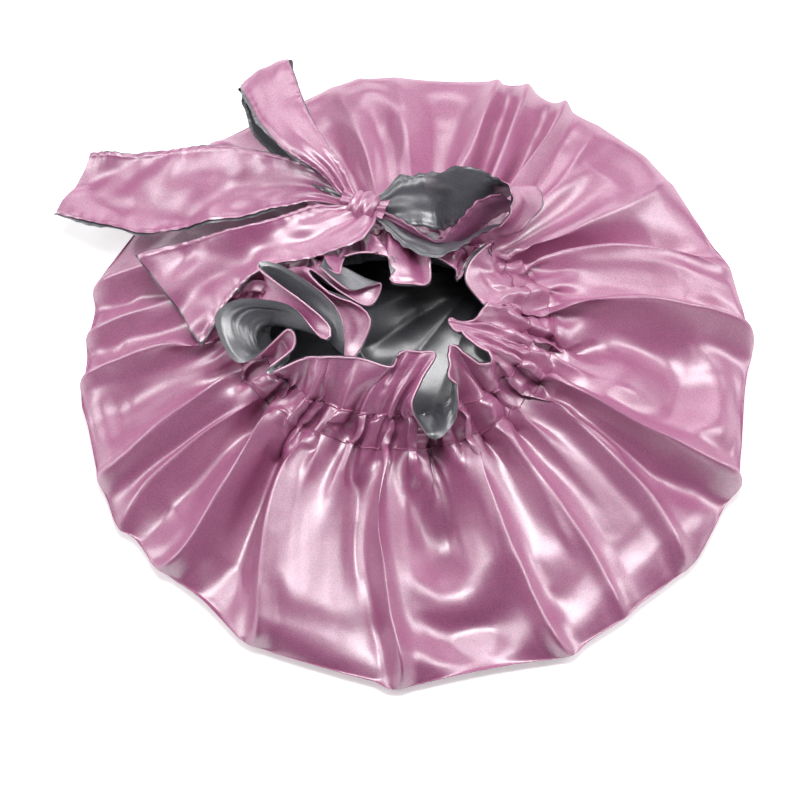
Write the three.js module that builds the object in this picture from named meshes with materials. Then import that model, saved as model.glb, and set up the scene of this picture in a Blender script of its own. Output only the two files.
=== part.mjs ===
// A reversible satin hair bonnet, lying crown down with its mouth up and its ties knotted in a bow.
// Two plies of satin, rose outside and grey inside, are sewn together round the ruffle's edge and
// stitched twice round the mouth. The two rows of stitching make a channel that holds the elastic.
// Millimetres, +Z up. The origin is under the middle of the crown, on the surface that it lies on.
import * as THREE from "three";

// Cloth
const SATIN = 0.5; // thickness of one ply
const PLY_GAP = 0.5; // air between the rose ply and the grey ply
const SEWN_GAP = 0.3; // clearance between pieces that are sewn or tied together

// Crown, measured as it lies
const CROWN_RADIUS = 188;
const RIM_DEPTH = 18; // how far in the rounded edge reaches
const RIM_HALF_HEIGHT = 9; // of the rounded edge at the front
const BACK_FULLNESS = 6; // how much higher that is at the back
const BACK_ANGLE = 80; // where the back is fullest
const RIM_SCALLOP = 2.5; // how far the edge stands out where a fold meets it
const CREST_HEIGHT = 12; // highest ridge above the crown's smooth top
const FOLD_DEPTH = 22; // deepest hollow between two ridges

// Mouth: an oval ring, off the crown's middle and higher at the back
const MOUTH_HALF_WIDTH = 88;
const MOUTH_HALF_DEPTH = 66;
const MOUTH_X = -13;
const MOUTH_Y = 9;
const MOUTH_HEIGHT = 46;
const MOUTH_TILT = 6; // extra height at the back, and as much less at the front
const GATHER_DEPTH = 1.5; // depth of the gathers under the stitching

// Elastic channel and its two rows of stitching
const CHANNEL_WIDTH = 18;
const CHANNEL_SLOPE = 40;
const CHANNEL_PUFF = 3; // how far the gathered cloth puffs out over the elastic
const ELASTIC_WIDTH = 12;
const ELASTIC_THICKNESS = 1;
const STITCH_RADIUS = 0.4;
const STITCH_INSET = 0.8; // the upper row of stitching below the ruffle's foot

// Ruffle above the channel
const RUFFLE_WIDTH = 38;
const EDGE_RADIUS = 0.7; // rolled seam along the ruffle's edge

// Ties
const TIE_WIDTH = 54;
const LEFT_TAIL_LENGTH = 170;
const FRONT_TAIL_LENGTH = 122;
const BACK_LOOP_LENGTH = 106;
const BACK_LOOP_WIDTH = 48;
const RIGHT_LOOP_LENGTH = 70;
const RIGHT_LOOP_WIDTH = 33;
const TIE_ROOT_WIDTH = 4; // bunched width at the knot
const TIE_NECK = 6; // how far it stays bunched
const TIE_SPREAD = 0.3; // how fast a bunched tie widens, each side
const KNOT_ANGLE = 111; // where on the mouth the knot sits
const KNOT_RADIUS = 8.5;
const KNOT_LENGTH = 20;
const TAB_WIDTH = 18; // the tie's sewn root, across
const TACK_LENGTH = 6;
const TACK_RADIUS = 0.6;
const TACK_INSET = 1; // from the edge of the tie's sewn root

const ROSE = { color: 0xc48aa8, roughness: 0.38, metalness: 0.1 };
const GREY = { color: 0x6b6d73, roughness: 0.36, metalness: 0.1 };
const WHITE_RUBBER = { color: 0xe6e3de, roughness: 0.8, metalness: 0 };
const ROSE_THREAD = { color: 0xb87a9a, roughness: 0.6, metalness: 0 };

// The main folds, counter-clockwise: the ridge's angle at the mouth, a third and two thirds of the way
// out and at the rim, in degrees; its crest's height, as a share of CREST_HEIGHT; and how deep the
// cloth hangs between it and the next ridge, as a share of FOLD_DEPTH.
const FOLDS = [
  [[19, 17.6, 17.2, 12], 0.75, 0.55],
  [[42, 35, 25, 22.5], 0.4, 0.6],
  [[50, 43, 41, 40], 0.4, 0.45],
  [[58, 55, 56, 58], 0.25, 0.4],
  [[63, 63, 64, 66], 0.4, 0.4],
  [[70, 70, 70.5, 71.5], 0.4, 0.4],
  [[78, 77, 75.5, 76], 0.55, 0.6],
  [[90, 90, 91, 92], 0.35, 0.5],
  [[101, 101, 102, 103], 0.55, 0.55],
  [[112, 112, 113, 115], 0.35, 0.5],
  [[124, 124, 126, 128], 0.4, 0.55],
  [[139, 139, 141, 144], 0.4, 0.55],
  [[152, 153, 157, 161], 0.55, 0.55],
  [[168, 169, 172, 171], 0.4, 0.55],
  [[179, 181, 182, 183], 0.35, 0.55],
  [[190, 195, 198, 198.5], 0.75, 0.35],
  [[198, 202, 207, 208.6], 0.25, 0.75],
  [[206, 216, 220.5, 218], 0.65, 0.9],
  [[219, 229, 239, 239], 0.75, 0.8],
  [[251.5, 258.5, 265.8, 266], 1, 1],
  [[294.5, 294.5, 294.5, 297], 0.65, 0.5],
  [[316, 313, 309.5, 308.5], 0.35, 0.35],
  [[332, 329, 324, 322.5], 0.6, 0.65],
  [[343, 337.5, 337.5, 339.3], 1, 0.65],
  [[358, 355, 351, 350], 0.35, 0.5],
  [[368, 366, 365, 366], 0.4, 0.55],
];

// The ruffle's waves, counter-clockwise: each crest or hollow by its foot's place round the mouth, in
// degrees, and by how far its edge lies inwards, along and up from that foot, in widths of the ruffle.
const RUFFLE_WAVES = [
  [348, 0.9, -0.1, 0.5],
  [356, 0.84, -0.1, 0.45],
  [6, 0.7, -0.1, 0.48],
  [26, 0.7, 0.1, 0.4],
  [34, 0.48, 0.2, 0.45],
  [41, 0.1, 0.12, 0.55],
  [48, 0.26, 0, 0.35],
  [55, 0.48, -0.12, 0.2],
  [72, 0.42, -0.1, 0.27],
  [80, 0.68, -0.26, 0.2],
  [88, 0.8, -0.15, 0.17],
  [102, 0.4, -0.1, 0.24],
  [110, 0.28, 0.02, 0.26],
  [117, 0.42, 0.1, 0.32],
  [123, 0.46, 0.1, 0.38],
  [129, 0.86, 0.02, 0.34],
  [134, 0.94, 0.15, 0.4],
  [139, 0.48, 0.1, 0.5],
  [144, 0.88, 0.12, 0.45],
  [149, 1, 0.22, 0.38],
  [154, 0.88, 0.36, 0.38],
  [159, 0.62, 0.1, 0.52],
  [164, 0.05, -0.2, 0.6],
  [169, 0.5, 0.06, 0.55],
  [174, 0.84, 0.28, 0.48],
  [180, 0.56, 0.18, 0.52],
  [186, -0.32, -0.26, 0.5],
  [192, -0.6, -0.2, 0.35],
  [198, -0.37, 0.13, 0.32],
  [205, 0.2, -0.08, 0.62],
  [212, -0.2, 0.16, 0.64],
  [222, 0.05, 0, 0.72],
  [238, 0.32, -0.08, 0.75],
  [252, 0.5, 0.16, 0.75],
  [272, 0.42, 0.42, 0.76],
  [278, -0.1, 0, 0.5],
  [284, -0.35, 0, 0.2],
  [291, -0.18, 0.05, 0.47],
  [301, 0.37, 0.03, 0.76],
  [309, 0.53, 0.08, 0.76],
  [318, 0.18, 0.05, 0.6],
  [338, 0.68, -0.08, 0.63],
];
const COLUMNS_PER_WAVE = 2;
const RUFFLE_COLUMNS = RUFFLE_WAVES.length * COLUMNS_PER_WAVE;
const COLUMNS_PER_FOLD = 3;
const COLUMNS = FOLDS.length * COLUMNS_PER_FOLD;
const TURN = 360;

const radians = THREE.MathUtils.degToRad;
const lerp = THREE.MathUtils.lerp;
const wrapped = (index, count) => ((index % count) + count) % count;
const plyMid = (SATIN + PLY_GAP) / 2; // from the plies' middle to the middle of either ply

// A bump of height 1 that falls smoothly to 0 at halfWidth degrees from its middle.
function bump(angle, middle, halfWidth) {
  const away = Math.abs(wrapped(angle - middle + TURN / 2, TURN) - TURN / 2) / halfWidth;
  return away < 1 ? Math.cos((away * Math.PI) / 2) ** 2 : 0;
}

// A smooth line through four values, evenly spaced from 0 to 1.
function throughFour([a, b, c, d], t) {
  const [u, v, w] = [t - 1 / 3, t - 2 / 3, t - 1];
  return 4.5 * (-a * u * v * w + d * t * u * v) + 13.5 * (b * t * v * w - c * t * u * w);
}

// The fold that a column belongs to, and how far the column is towards the next fold. Angles run from
// the rim to the mouth.
function foldAt(column) {
  const place = wrapped(column, COLUMNS) / COLUMNS_PER_FOLD;
  const index = Math.floor(place);
  const here = FOLDS[index];
  const next = FOLDS[wrapped(index + 1, FOLDS.length)];
  const turn = index + 1 === FOLDS.length ? TURN : 0;
  const share = place - index;
  const angleAt = (s) => lerp(throughFour(here[0], 1 - s), throughFour(next[0], 1 - s) + turn, share);
  return {
    share,
    angleAt,
    mouthAngle: angleAt(1),
    rimAngle: angleAt(0),
    crest: lerp(here[1], next[1], share),
    sag: here[2],
  };
}

// Distance from the crown's axis to the mouth's oval.
function mouthRadius(angle) {
  const x = Math.cos(radians(angle));
  const y = Math.sin(radians(angle));
  const across = MOUTH_HALF_WIDTH ** 2;
  const deep = MOUTH_HALF_DEPTH ** 2;
  const a = (x * x) / across + (y * y) / deep;
  const b = -2 * ((MOUTH_X * x) / across + (MOUTH_Y * y) / deep);
  const c = MOUTH_X ** 2 / across + MOUTH_Y ** 2 / deep - 1;
  return (-b + Math.sqrt(b * b - 4 * a * c)) / (2 * a);
}

const mouthHeight = (angle) => MOUTH_HEIGHT + MOUTH_TILT * Math.sin(radians(angle));

// A point in the upright plane through the axis at an angle.
const polar = (angle, radius, height) =>
  new THREE.Vector3(radius * Math.cos(radians(angle)), radius * Math.sin(radians(angle)), height);

// A thin closed solid of cloth. point(i, j, offset) gives the cloth's point at a column and a row, that
// far out from the middle of the plies. Closed cloth runs all the way round. A pole is a row that is one point.
function clothSolid({ point, columns, rows, from, to, closed = false, pole = false }) {
  const positions = [];
  const index = [];
  const wide = closed ? columns : columns + 1;
  const vertex = [from, to].map((offset) => {
    const layer = [];
    for (let j = 0; j < rows; j++) {
      const single = pole && j === 0;
      const ids = [];
      for (let i = 0; i < wide; i++) {
        if (!single || i === 0) positions.push(...point(i, j, offset).toArray());
        ids.push(positions.length / 3 - 1);
      }
      layer.push(ids);
    }
    return layer;
  });
  const at = (layer, i, j) => vertex[layer][j][closed ? i % columns : i];
  const triangle = (a, b, c) => {
    if (a !== b && b !== c && c !== a) index.push(a, b, c);
  };
  const quad = (a, b, c, d) => {
    triangle(a, b, c);
    triangle(a, c, d);
  };
  for (let i = 0; i < columns; i++) {
    for (let j = 0; j < rows - 1; j++) {
      quad(at(1, i, j), at(1, i + 1, j), at(1, i + 1, j + 1), at(1, i, j + 1));
      quad(at(0, i, j), at(0, i, j + 1), at(0, i + 1, j + 1), at(0, i + 1, j));
    }
    if (!pole) quad(at(0, i, 0), at(0, i + 1, 0), at(1, i + 1, 0), at(1, i, 0));
    const last = rows - 1;
    quad(at(1, i, last), at(1, i + 1, last), at(0, i + 1, last), at(0, i, last));
  }
  if (!closed) {
    for (let j = 0; j < rows - 1; j++) {
      quad(at(0, 0, j), at(1, 0, j), at(1, 0, j + 1), at(0, 0, j + 1));
      quad(at(1, columns, j), at(0, columns, j), at(0, columns, j + 1), at(1, columns, j + 1));
    }
  }
  return facingOut(positions, index);
}

// A tube round a closed line of points.
function seamRing(point, columns, radius, sides) {
  const positions = [];
  const index = [];
  for (let i = 0; i < columns; i++) {
    const middle = point(i);
    const along = point(i + 1).sub(point(i - 1)).normalize();
    const across = along.clone().cross(new THREE.Vector3(0, 0, 1)).normalize();
    const up = across.clone().cross(along);
    for (let k = 0; k < sides; k++) {
      const turn = (k / sides) * 2 * Math.PI;
      const spoke = across.clone().multiplyScalar(Math.cos(turn)).addScaledVector(up, Math.sin(turn));
      positions.push(...middle.clone().addScaledVector(spoke, radius).toArray());
    }
  }
  const at = (i, k) => (i % columns) * sides + (k % sides);
  for (let i = 0; i < columns; i++) {
    for (let k = 0; k < sides; k++) {
      index.push(at(i, k), at(i + 1, k), at(i + 1, k + 1));
      index.push(at(i, k), at(i + 1, k + 1), at(i, k + 1));
    }
  }
  return facingOut(positions, index);
}

// A geometry whose triangles are turned so that they enclose a positive volume.
function facingOut(positions, index) {
  const corner = (n) => new THREE.Vector3().fromArray(positions, 3 * index[n]);
  let volume = 0;
  for (let n = 0; n < index.length; n += 3) {
    volume += corner(n).dot(corner(n + 1).cross(corner(n + 2)));
  }
  const geometry = new THREE.BufferGeometry();
  geometry.setAttribute("position", new THREE.Float32BufferAttribute(positions, 3));
  geometry.setIndex(volume < 0 ? index.reverse() : index);
  geometry.computeVertexNormals();
  return geometry;
}

const bonnet = new THREE.Group();

function add(name, geometry, finish) {
  const mesh = new THREE.Mesh(geometry, new THREE.MeshStandardMaterial(finish));
  mesh.name = name;
  bonnet.add(mesh);
  return mesh;
}

// The rose and grey plies of the same piece of cloth.
function addPlies(names, cloth) {
  add(names[0], clothSolid({ ...cloth, from: plyMid - SATIN / 2, to: plyMid + SATIN / 2 }), ROSE);
  add(names[1], clothSolid({ ...cloth, from: -plyMid - SATIN / 2, to: -plyMid + SATIN / 2 }), GREY);
}

// Crown: one round cut of cloth, in three pieces: its flat base, its rounded edge, and the top that
// rises to the mouth in radial folds.
const ROLL_STEPS = 3;
const TOP_STEPS = 6;
const clothBase = plyMid + SATIN / 2; // the plies' middle above the surface they lie on
const RIM_RISE = 10; // how fast the top climbs from the rim
const RIM_REACH = 30;
const SHOULDER_DROP = 3; // how far the top falls away from the mouth
const SHOULDER_REACH = 40;
const channelOut = new THREE.Vector2(Math.sin(radians(CHANNEL_SLOPE)), Math.cos(radians(CHANNEL_SLOPE)));
const channelUp = new THREE.Vector2(-channelOut.y, channelOut.x);

const rimHalfHeight = (angle) => RIM_HALF_HEIGHT + BACK_FULLNESS * bump(angle, BACK_ANGLE, TURN / 4);
const rimRadius = (fold) => CROWN_RADIUS + RIM_SCALLOP * (1 - 2 * Math.sin(Math.PI * fold.share)) * 0.5;

// The crown's profile in the upright plane of a fold, before its folds sag. s runs from rim to mouth.
function topProfile(fold, s) {
  const start = new THREE.Vector2(rimRadius(fold) - RIM_DEPTH, 2 * rimHalfHeight(fold.rimAngle));
  const end = new THREE.Vector2(mouthRadius(fold.mouthAngle), mouthHeight(fold.mouthAngle));
  const curve = new THREE.CubicBezierCurve(
    start,
    new THREE.Vector2(start.x - RIM_REACH, start.y + RIM_RISE),
    new THREE.Vector2(end.x + SHOULDER_REACH, end.y - SHOULDER_DROP),
    end,
  );
  return { at: curve.getPoint(s), along: curve.getTangent(s) };
}

// How far the cloth rises or hangs at a column, at s from the rim to the mouth.
function foldHeight(fold, s) {
  const crest = CREST_HEIGHT * fold.crest * Math.sin(Math.PI * s) ** 0.7;
  const belly = FOLD_DEPTH * fold.sag * Math.sin(Math.PI * s ** 1.1);
  return crest - (belly + GATHER_DEPTH * s ** 4) * Math.sin(Math.PI * fold.share);
}

// The rounded edge: half an oval, from underneath, round the outside, to the top.
function rimPoint(fold, turn, offset) {
  const half = rimHalfHeight(fold.rimAngle);
  const out = new THREE.Vector2(half * Math.cos(turn), RIM_DEPTH * Math.sin(turn)).normalize();
  const radius = rimRadius(fold) - RIM_DEPTH * (1 - Math.cos(turn)) + out.x * (offset - clothBase);
  return polar(fold.rimAngle, radius, half * (1 + Math.sin(turn)) + out.y * (offset - clothBase));
}

function topPoint(fold, s, offset) {
  const { at, along } = topProfile(fold, s);
  const lift = offset - clothBase * (1 - s);
  const out = new THREE.Vector2(along.y, -along.x).lerp(channelOut, s ** 8).normalize();
  return polar(fold.angleAt(s), at.x + out.x * lift, at.y + out.y * lift + foldHeight(fold, s));
}

const baseRadius = (fold) => rimRadius(fold) - RIM_DEPTH - SEWN_GAP;
addPlies(["crown_base_outer", "crown_base_lining"], {
  point: (i, j, offset) => polar(foldAt(i).rimAngle, j * baseRadius(foldAt(i)), clothBase - offset),
  columns: COLUMNS,
  rows: 2,
  closed: true,
  pole: true,
});

const edgeEnd = Math.PI / 2 - SEWN_GAP / 2 / RIM_DEPTH;
addPlies(["crown_edge_outer", "crown_edge_lining"], {
  point: (i, j, offset) => rimPoint(foldAt(i), lerp(-Math.PI / 2, edgeEnd, j / ROLL_STEPS), offset),
  columns: COLUMNS,
  rows: ROLL_STEPS + 1,
  closed: true,
});

const topStart = SEWN_GAP / 2 / (3 * RIM_REACH);
const topEnd = 1 - SEWN_GAP / 2 / (CROWN_RADIUS - MOUTH_HALF_WIDTH);
addPlies(["crown_outer", "crown_lining"], {
  point: (i, j, offset) => topPoint(foldAt(i), lerp(topStart, topEnd, j / TOP_STEPS), offset),
  columns: COLUMNS,
  rows: TOP_STEPS + 1,
  closed: true,
});

// Elastic channel: both plies puff out round the elastic and meet at the two rows of stitching.
const elasticEdge = (CHANNEL_WIDTH - ELASTIC_WIDTH) / 2;
const elasticRoom = ELASTIC_THICKNESS / 2 + SEWN_GAP + SATIN / 2 - plyMid;
const channelLip = elasticEdge - SEWN_GAP; // where the cloth has opened enough to clear the elastic

// A point on the channel's smooth slope, that far up it and out from it.
function slopePoint(angle, up, out) {
  const radius = mouthRadius(angle) + channelUp.x * up + channelOut.x * out;
  return polar(angle, radius, mouthHeight(angle) + channelUp.y * up + channelOut.y * out);
}

// The same at a column of the gathered cloth.
function channelPoint(column, up, out) {
  const fold = foldAt(column);
  const gather = GATHER_DEPTH * Math.sin(Math.PI * fold.share) * Math.max(0, 1 - up / elasticEdge);
  return slopePoint(fold.mouthAngle, up, out).sub(new THREE.Vector3(0, 0, gather));
}

// How far the channel's cloth stands off its middle line: nothing at the seams, most on a fold's ridge.
function channelRoom(column, up) {
  const ridge = Math.cos(Math.PI * foldAt(column).share) ** 2;
  const fromSeam = Math.min(up, CHANNEL_WIDTH - up);
  return (elasticRoom + CHANNEL_PUFF * ridge) * Math.min(1, fromSeam / channelLip);
}

const channelRows = [SEWN_GAP / 2, channelLip, CHANNEL_WIDTH - channelLip, CHANNEL_WIDTH - SEWN_GAP / 2];
addPlies(["channel_outer", "channel_lining"], {
  point: (i, j, offset) => {
    const up = channelRows[j];
    return channelPoint(i, up, offset + Math.sign(offset) * channelRoom(i, up));
  },
  columns: COLUMNS,
  rows: channelRows.length,
  closed: true,
});

add(
  "elastic_band",
  clothSolid({
    point: (i, j, offset) => channelPoint(i, j ? CHANNEL_WIDTH - elasticEdge : elasticEdge, offset),
    columns: COLUMNS,
    rows: 2,
    from: -ELASTIC_THICKNESS / 2,
    to: ELASTIC_THICKNESS / 2,
    closed: true,
  }),
  WHITE_RUBBER,
);

const STITCH_SIDES = 4;
const stitchOut = plyMid + SATIN / 2 + SEWN_GAP + STITCH_RADIUS;
for (const [name, up, fromSeam] of [
  ["lower_channel_stitching", 0, 0],
  ["upper_channel_stitching", CHANNEL_WIDTH - STITCH_INSET, STITCH_INSET],
]) {
  const out = stitchOut + channelRoom(0, fromSeam + STITCH_RADIUS);
  const line = (i) => channelPoint(i, up, out);
  add(name, seamRing(line, COLUMNS, STITCH_RADIUS, STITCH_SIDES), ROSE_THREAD);
}

// Ruffle: the header above the channel. It stands as a flat panel at the front, folds on itself and
// falls outwards at the left, and lies in over the mouth at the right and the back.
const RUFFLE_STEPS = 3;
const RUFFLE_START = 0.4; // how far it follows the channel's slope before it turns, in its own length
const ruffleFoot = CHANNEL_WIDTH + SEWN_GAP / 2;
const throat = -channelUp.x * ruffleFoot; // the ruffle's foot inside the mouth's oval

// The wave at a column: smoothly between the listed crests and hollows.
function waveAt(column) {
  const count = RUFFLE_WAVES.length;
  const place = column / COLUMNS_PER_WAVE;
  const index = Math.floor(place);
  const share = place - index;
  const [a, b, c, d] = [-1, 0, 1, 2].map((step) => {
    const turns = Math.floor((index + step) / count);
    const wave = RUFFLE_WAVES[wrapped(index + step, count)];
    const pastStart = wave[0] < RUFFLE_WAVES[0][0] ? TURN : 0;
    return [wave[0] + pastStart + turns * TURN, ...wave.slice(1)];
  });
  return a.map((_, k) => {
    const bend = [2 * b[k], c[k] - a[k], 2 * a[k] - 5 * b[k] + 4 * c[k] - d[k]];
    const last = 3 * (b[k] - c[k]) + d[k] - a[k];
    return (bend[0] + share * (bend[1] + share * (bend[2] + share * last))) / 2;
  });
}

// The angle, seen from the crown's axis, of a point that far round the ruffle's foot.
function footAngle(place) {
  const x = MOUTH_X + (MOUTH_HALF_WIDTH - throat) * Math.cos(radians(place));
  const y = MOUTH_Y + (MOUTH_HALF_DEPTH - throat) * Math.sin(radians(place));
  return THREE.MathUtils.radToDeg(Math.atan2(y, x));
}

function ruffleMiddle(column, share) {
  const [place, inwards, along, up] = waveAt(column);
  const angle = footAngle(place);
  const foot = slopePoint(angle, ruffleFoot, 0);
  const inward = new THREE.Vector3(MOUTH_X - foot.x, MOUTH_Y - foot.y, 0).normalize();
  const round = new THREE.Vector3(inward.y, -inward.x, 0);
  const fall = inward.clone().multiplyScalar(inwards).addScaledVector(round, along).setZ(up);
  const slope = polar(angle, channelUp.x, channelUp.y);
  const turn = foot.clone().addScaledVector(slope, RUFFLE_WIDTH * RUFFLE_START * fall.length());
  const edge = foot.clone().addScaledVector(fall, RUFFLE_WIDTH);
  return new THREE.QuadraticBezierCurve3(foot, turn, edge).getPoint(share);
}

// The directions round and up the ruffle at a column and a share of its width.
function ruffleRun(column, share) {
  const small = 0.01;
  const round = ruffleMiddle(column + small, share).sub(ruffleMiddle(column - small, share));
  const rise = ruffleMiddle(column, share).sub(ruffleMiddle(column, share - small));
  return { round: round.normalize(), rise };
}

function rufflePoint(column, share, offset) {
  if (share === 0) return slopePoint(footAngle(waveAt(column)[0]), ruffleFoot, offset);
  const { round, rise } = ruffleRun(column, share);
  return ruffleMiddle(column, share).addScaledVector(round.cross(rise).normalize(), offset);
}

addPlies(["ruffle_outer", "ruffle_lining"], {
  point: (i, j, offset) => rufflePoint(i, j / RUFFLE_STEPS, offset),
  columns: RUFFLE_COLUMNS,
  rows: RUFFLE_STEPS + 1,
  closed: true,
});

// The seam lies beyond the edge, square to it.
function edgeLine(column) {
  const { round, rise } = ruffleRun(column, 1);
  const beyond = rise.addScaledVector(round, -rise.dot(round)).normalize();
  return ruffleMiddle(column, 1).addScaledVector(beyond, 2 * SEWN_GAP + EDGE_RADIUS);
}
add("ruffle_edge_seam", seamRing(edgeLine, RUFFLE_COLUMNS, EDGE_RADIUS, STITCH_SIDES), ROSE_THREAD);

// Tie tab: the tie's gathered root, sewn over the channel under the knot by two bar tacks.
const tabColumns = 4;
const tabOut = plyMid + SATIN / 2 + elasticRoom + CHANNEL_PUFF + SEWN_GAP;
const tabThickness = 2 * SATIN;
const tabTurn = (TAB_WIDTH / mouthRadius(KNOT_ANGLE) / Math.PI) * (TURN / 2);

add(
  "tie_tab",
  clothSolid({
    point: (i, j, offset) =>
      slopePoint(
        KNOT_ANGLE + tabTurn * (0.5 - i / tabColumns),
        lerp(elasticEdge, CHANNEL_WIDTH - elasticEdge, j / 2),
        tabOut + offset,
      ),
    columns: tabColumns,
    rows: 3,
    from: 0,
    to: tabThickness,
  }),
  ROSE,
);

for (const [name, up] of [
  ["lower_tie_tack", elasticEdge + TACK_INSET],
  ["upper_tie_tack", CHANNEL_WIDTH - elasticEdge - TACK_INSET],
]) {
  const tack = new THREE.CapsuleGeometry(TACK_RADIUS, TACK_LENGTH - 2 * TACK_RADIUS, 2, 6);
  const mesh = add(name, tack, ROSE_THREAD);
  const seat = tabOut + tabThickness + SEWN_GAP + TACK_RADIUS;
  const left = slopePoint(KNOT_ANGLE + tabTurn / 4, up, seat);
  const right = slopePoint(KNOT_ANGLE - tabTurn / 4, up, seat);
  mesh.position.copy(left).lerp(right, 0.5);
  mesh.quaternion.setFromUnitVectors(new THREE.Vector3(0, 1, 0), right.sub(left).normalize());
}

// Knot: a band wrapped round the bunched tie. Its axis runs along the bow, from left to right.
const BOW_ANGLE = 0;
const KNOT_SIDES = 14;
const knotOut = tabOut + tabThickness + SEWN_GAP + KNOT_RADIUS + SATIN;
const knotMiddle = slopePoint(KNOT_ANGLE, CHANNEL_WIDTH / 2, knotOut);
const bowAxis = polar(BOW_ANGLE, 1, 0);
const bowSide = polar(BOW_ANGLE + 90, 1, 0);

function knotPoint(turn, along, radius) {
  const spoke = bowSide.clone().multiplyScalar(Math.cos(turn)).setZ(Math.sin(turn));
  return knotMiddle.clone().addScaledVector(bowAxis, along).addScaledVector(spoke, radius);
}

const KNOT_ROWS = 5;
const KNOT_WAIST = 2; // how much the wrapped band draws in at its ends
add(
  "knot_wrap",
  clothSolid({
    point: (i, j, offset) => {
      const along = j / (KNOT_ROWS - 1) - 0.5;
      return knotPoint(
        (i / KNOT_SIDES) * 2 * Math.PI,
        along * KNOT_LENGTH,
        KNOT_RADIUS - KNOT_WAIST * (2 * along) ** 2 + offset,
      );
    },
    columns: KNOT_SIDES,
    rows: KNOT_ROWS,
    from: -SATIN,
    to: SATIN,
    closed: true,
  }),
  ROSE,
);

const coreRadius = (along) => KNOT_RADIUS - KNOT_WAIST * (2 * along) ** 2 - SATIN - SEWN_GAP;
const coreProfile = [new THREE.Vector2(0, -KNOT_LENGTH / 2)];
for (let j = 0; j < KNOT_ROWS; j++) {
  const along = j / (KNOT_ROWS - 1) - 0.5;
  coreProfile.push(new THREE.Vector2(coreRadius(along), along * KNOT_LENGTH));
}
coreProfile.push(new THREE.Vector2(0, KNOT_LENGTH / 2));
const core = add("knot_core", new THREE.LatheGeometry(coreProfile, KNOT_SIDES), ROSE);
core.position.copy(knotMiddle);
core.quaternion.setFromUnitVectors(new THREE.Vector3(0, 1, 0), bowAxis);

// A tie ribbon: the cloth along a curved path, bunched at the knot and opening to its full width.
// sides gives the direction across the ribbon at each of the path's points.
function ribbon({ path, sides, width, steps, across, cup = 0 }) {
  const curve = new THREE.CatmullRomCurve3(path);
  const lean = new THREE.CatmullRomCurve3(sides);
  const length = curve.getLength();
  const middle = (u, v) => {
    const side = lean.getPoint(u).normalize();
    const half = width(u * length, length) / 2;
    const sag = cup * half * (1 - (2 * v - 1) ** 2);
    return curve.getPoint(u).addScaledVector(side, (2 * v - 1) * half).add(new THREE.Vector3(0, 0, sag));
  };
  const point = (i, j, offset) => {
    const small = 1e-3;
    const u = i / steps;
    const v = j / (across - 1);
    const before = Math.max(0, u - small);
    const after = Math.min(1, u + small);
    const along = middle(after, v).sub(middle(before, v));
    const over = middle(u, v + small).sub(middle(u, v - small));
    return middle(u, v).addScaledVector(over.cross(along).normalize(), offset);
  };
  return { point, columns: steps, rows: across };
}

const opening = (limit) => (run) =>
  Math.min(limit, TIE_ROOT_WIDTH + 2 * TIE_SPREAD * Math.max(0, run - TIE_NECK));

// Where a tie leaves the knot: at its left end (-1) or right end (1), that far back and that far up.
// A tie that leaves at an angle stands off by half its root's width, so that its corner clears the knot.
function tieRoot(end, angle, back, up) {
  const corner = (TIE_ROOT_WIDTH / 2) * Math.abs(Math.sin(radians(angle - BOW_ANGLE)));
  const along = end * (KNOT_LENGTH / 2 + SEWN_GAP + corner);
  return knotMiddle.clone().addScaledVector(bowAxis, along).addScaledVector(bowSide, back).setZ(knotMiddle.z + up);
}

// The points of a tie's path: each by its angle, how far along from the root and how far above it, the
// last two in lengths of the tie.
const tiePath = (root, length, runs) =>
  runs.map(([angle, run, up]) => polar(angle, run * length, up * length).add(root));

// The direction across a tie that runs at an angle. A positive roll drops its right edge.
const acrossTie = (angle, roll) => polar(angle - 90, Math.cos(radians(roll)), -Math.sin(radians(roll)));
const ROOT_PITCH = TIE_ROOT_WIDTH + 3 * SEWN_GAP; // the three ties at the knot's left end lie side by side

// Left tail: it drapes over the back of the crown and hangs past its edge.
const LEFT_TAIL = 167;
addPlies(
  ["left_tail_face", "left_tail_back"],
  ribbon({
    path: tiePath(tieRoot(-1, LEFT_TAIL, 0, -1), LEFT_TAIL_LENGTH, [
      [LEFT_TAIL, 0, 0],
      [LEFT_TAIL, 0.27, -0.05],
      [LEFT_TAIL, 0.57, -0.13],
      [LEFT_TAIL, 0.84, -0.23],
      [LEFT_TAIL, 1, -0.3],
    ]),
    sides: [0, -8, -14, -16, -14].map((roll) => acrossTie(LEFT_TAIL, roll)),
    width: opening(TIE_WIDTH),
    steps: 10,
    across: 4,
    cup: 0.08,
  }),
);

// Front tail: it crosses the channel and lies on the left of the crown.
const FRONT_TAIL = 201;
addPlies(
  ["front_tail_face", "front_tail_back"],
  ribbon({
    path: tiePath(tieRoot(-1, FRONT_TAIL, -ROOT_PITCH, 1), FRONT_TAIL_LENGTH, [
      [FRONT_TAIL, 0, 0],
      [FRONT_TAIL, 0.3, 0.05],
      [FRONT_TAIL, 0.65, -0.04],
      [FRONT_TAIL, 1, -0.19],
    ]),
    sides: [0, 4, 8, 10].map((roll) => acrossTie(FRONT_TAIL, roll)),
    width: opening(TIE_WIDTH),
    steps: 10,
    across: 4,
    cup: 0.08,
  }),
);

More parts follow.
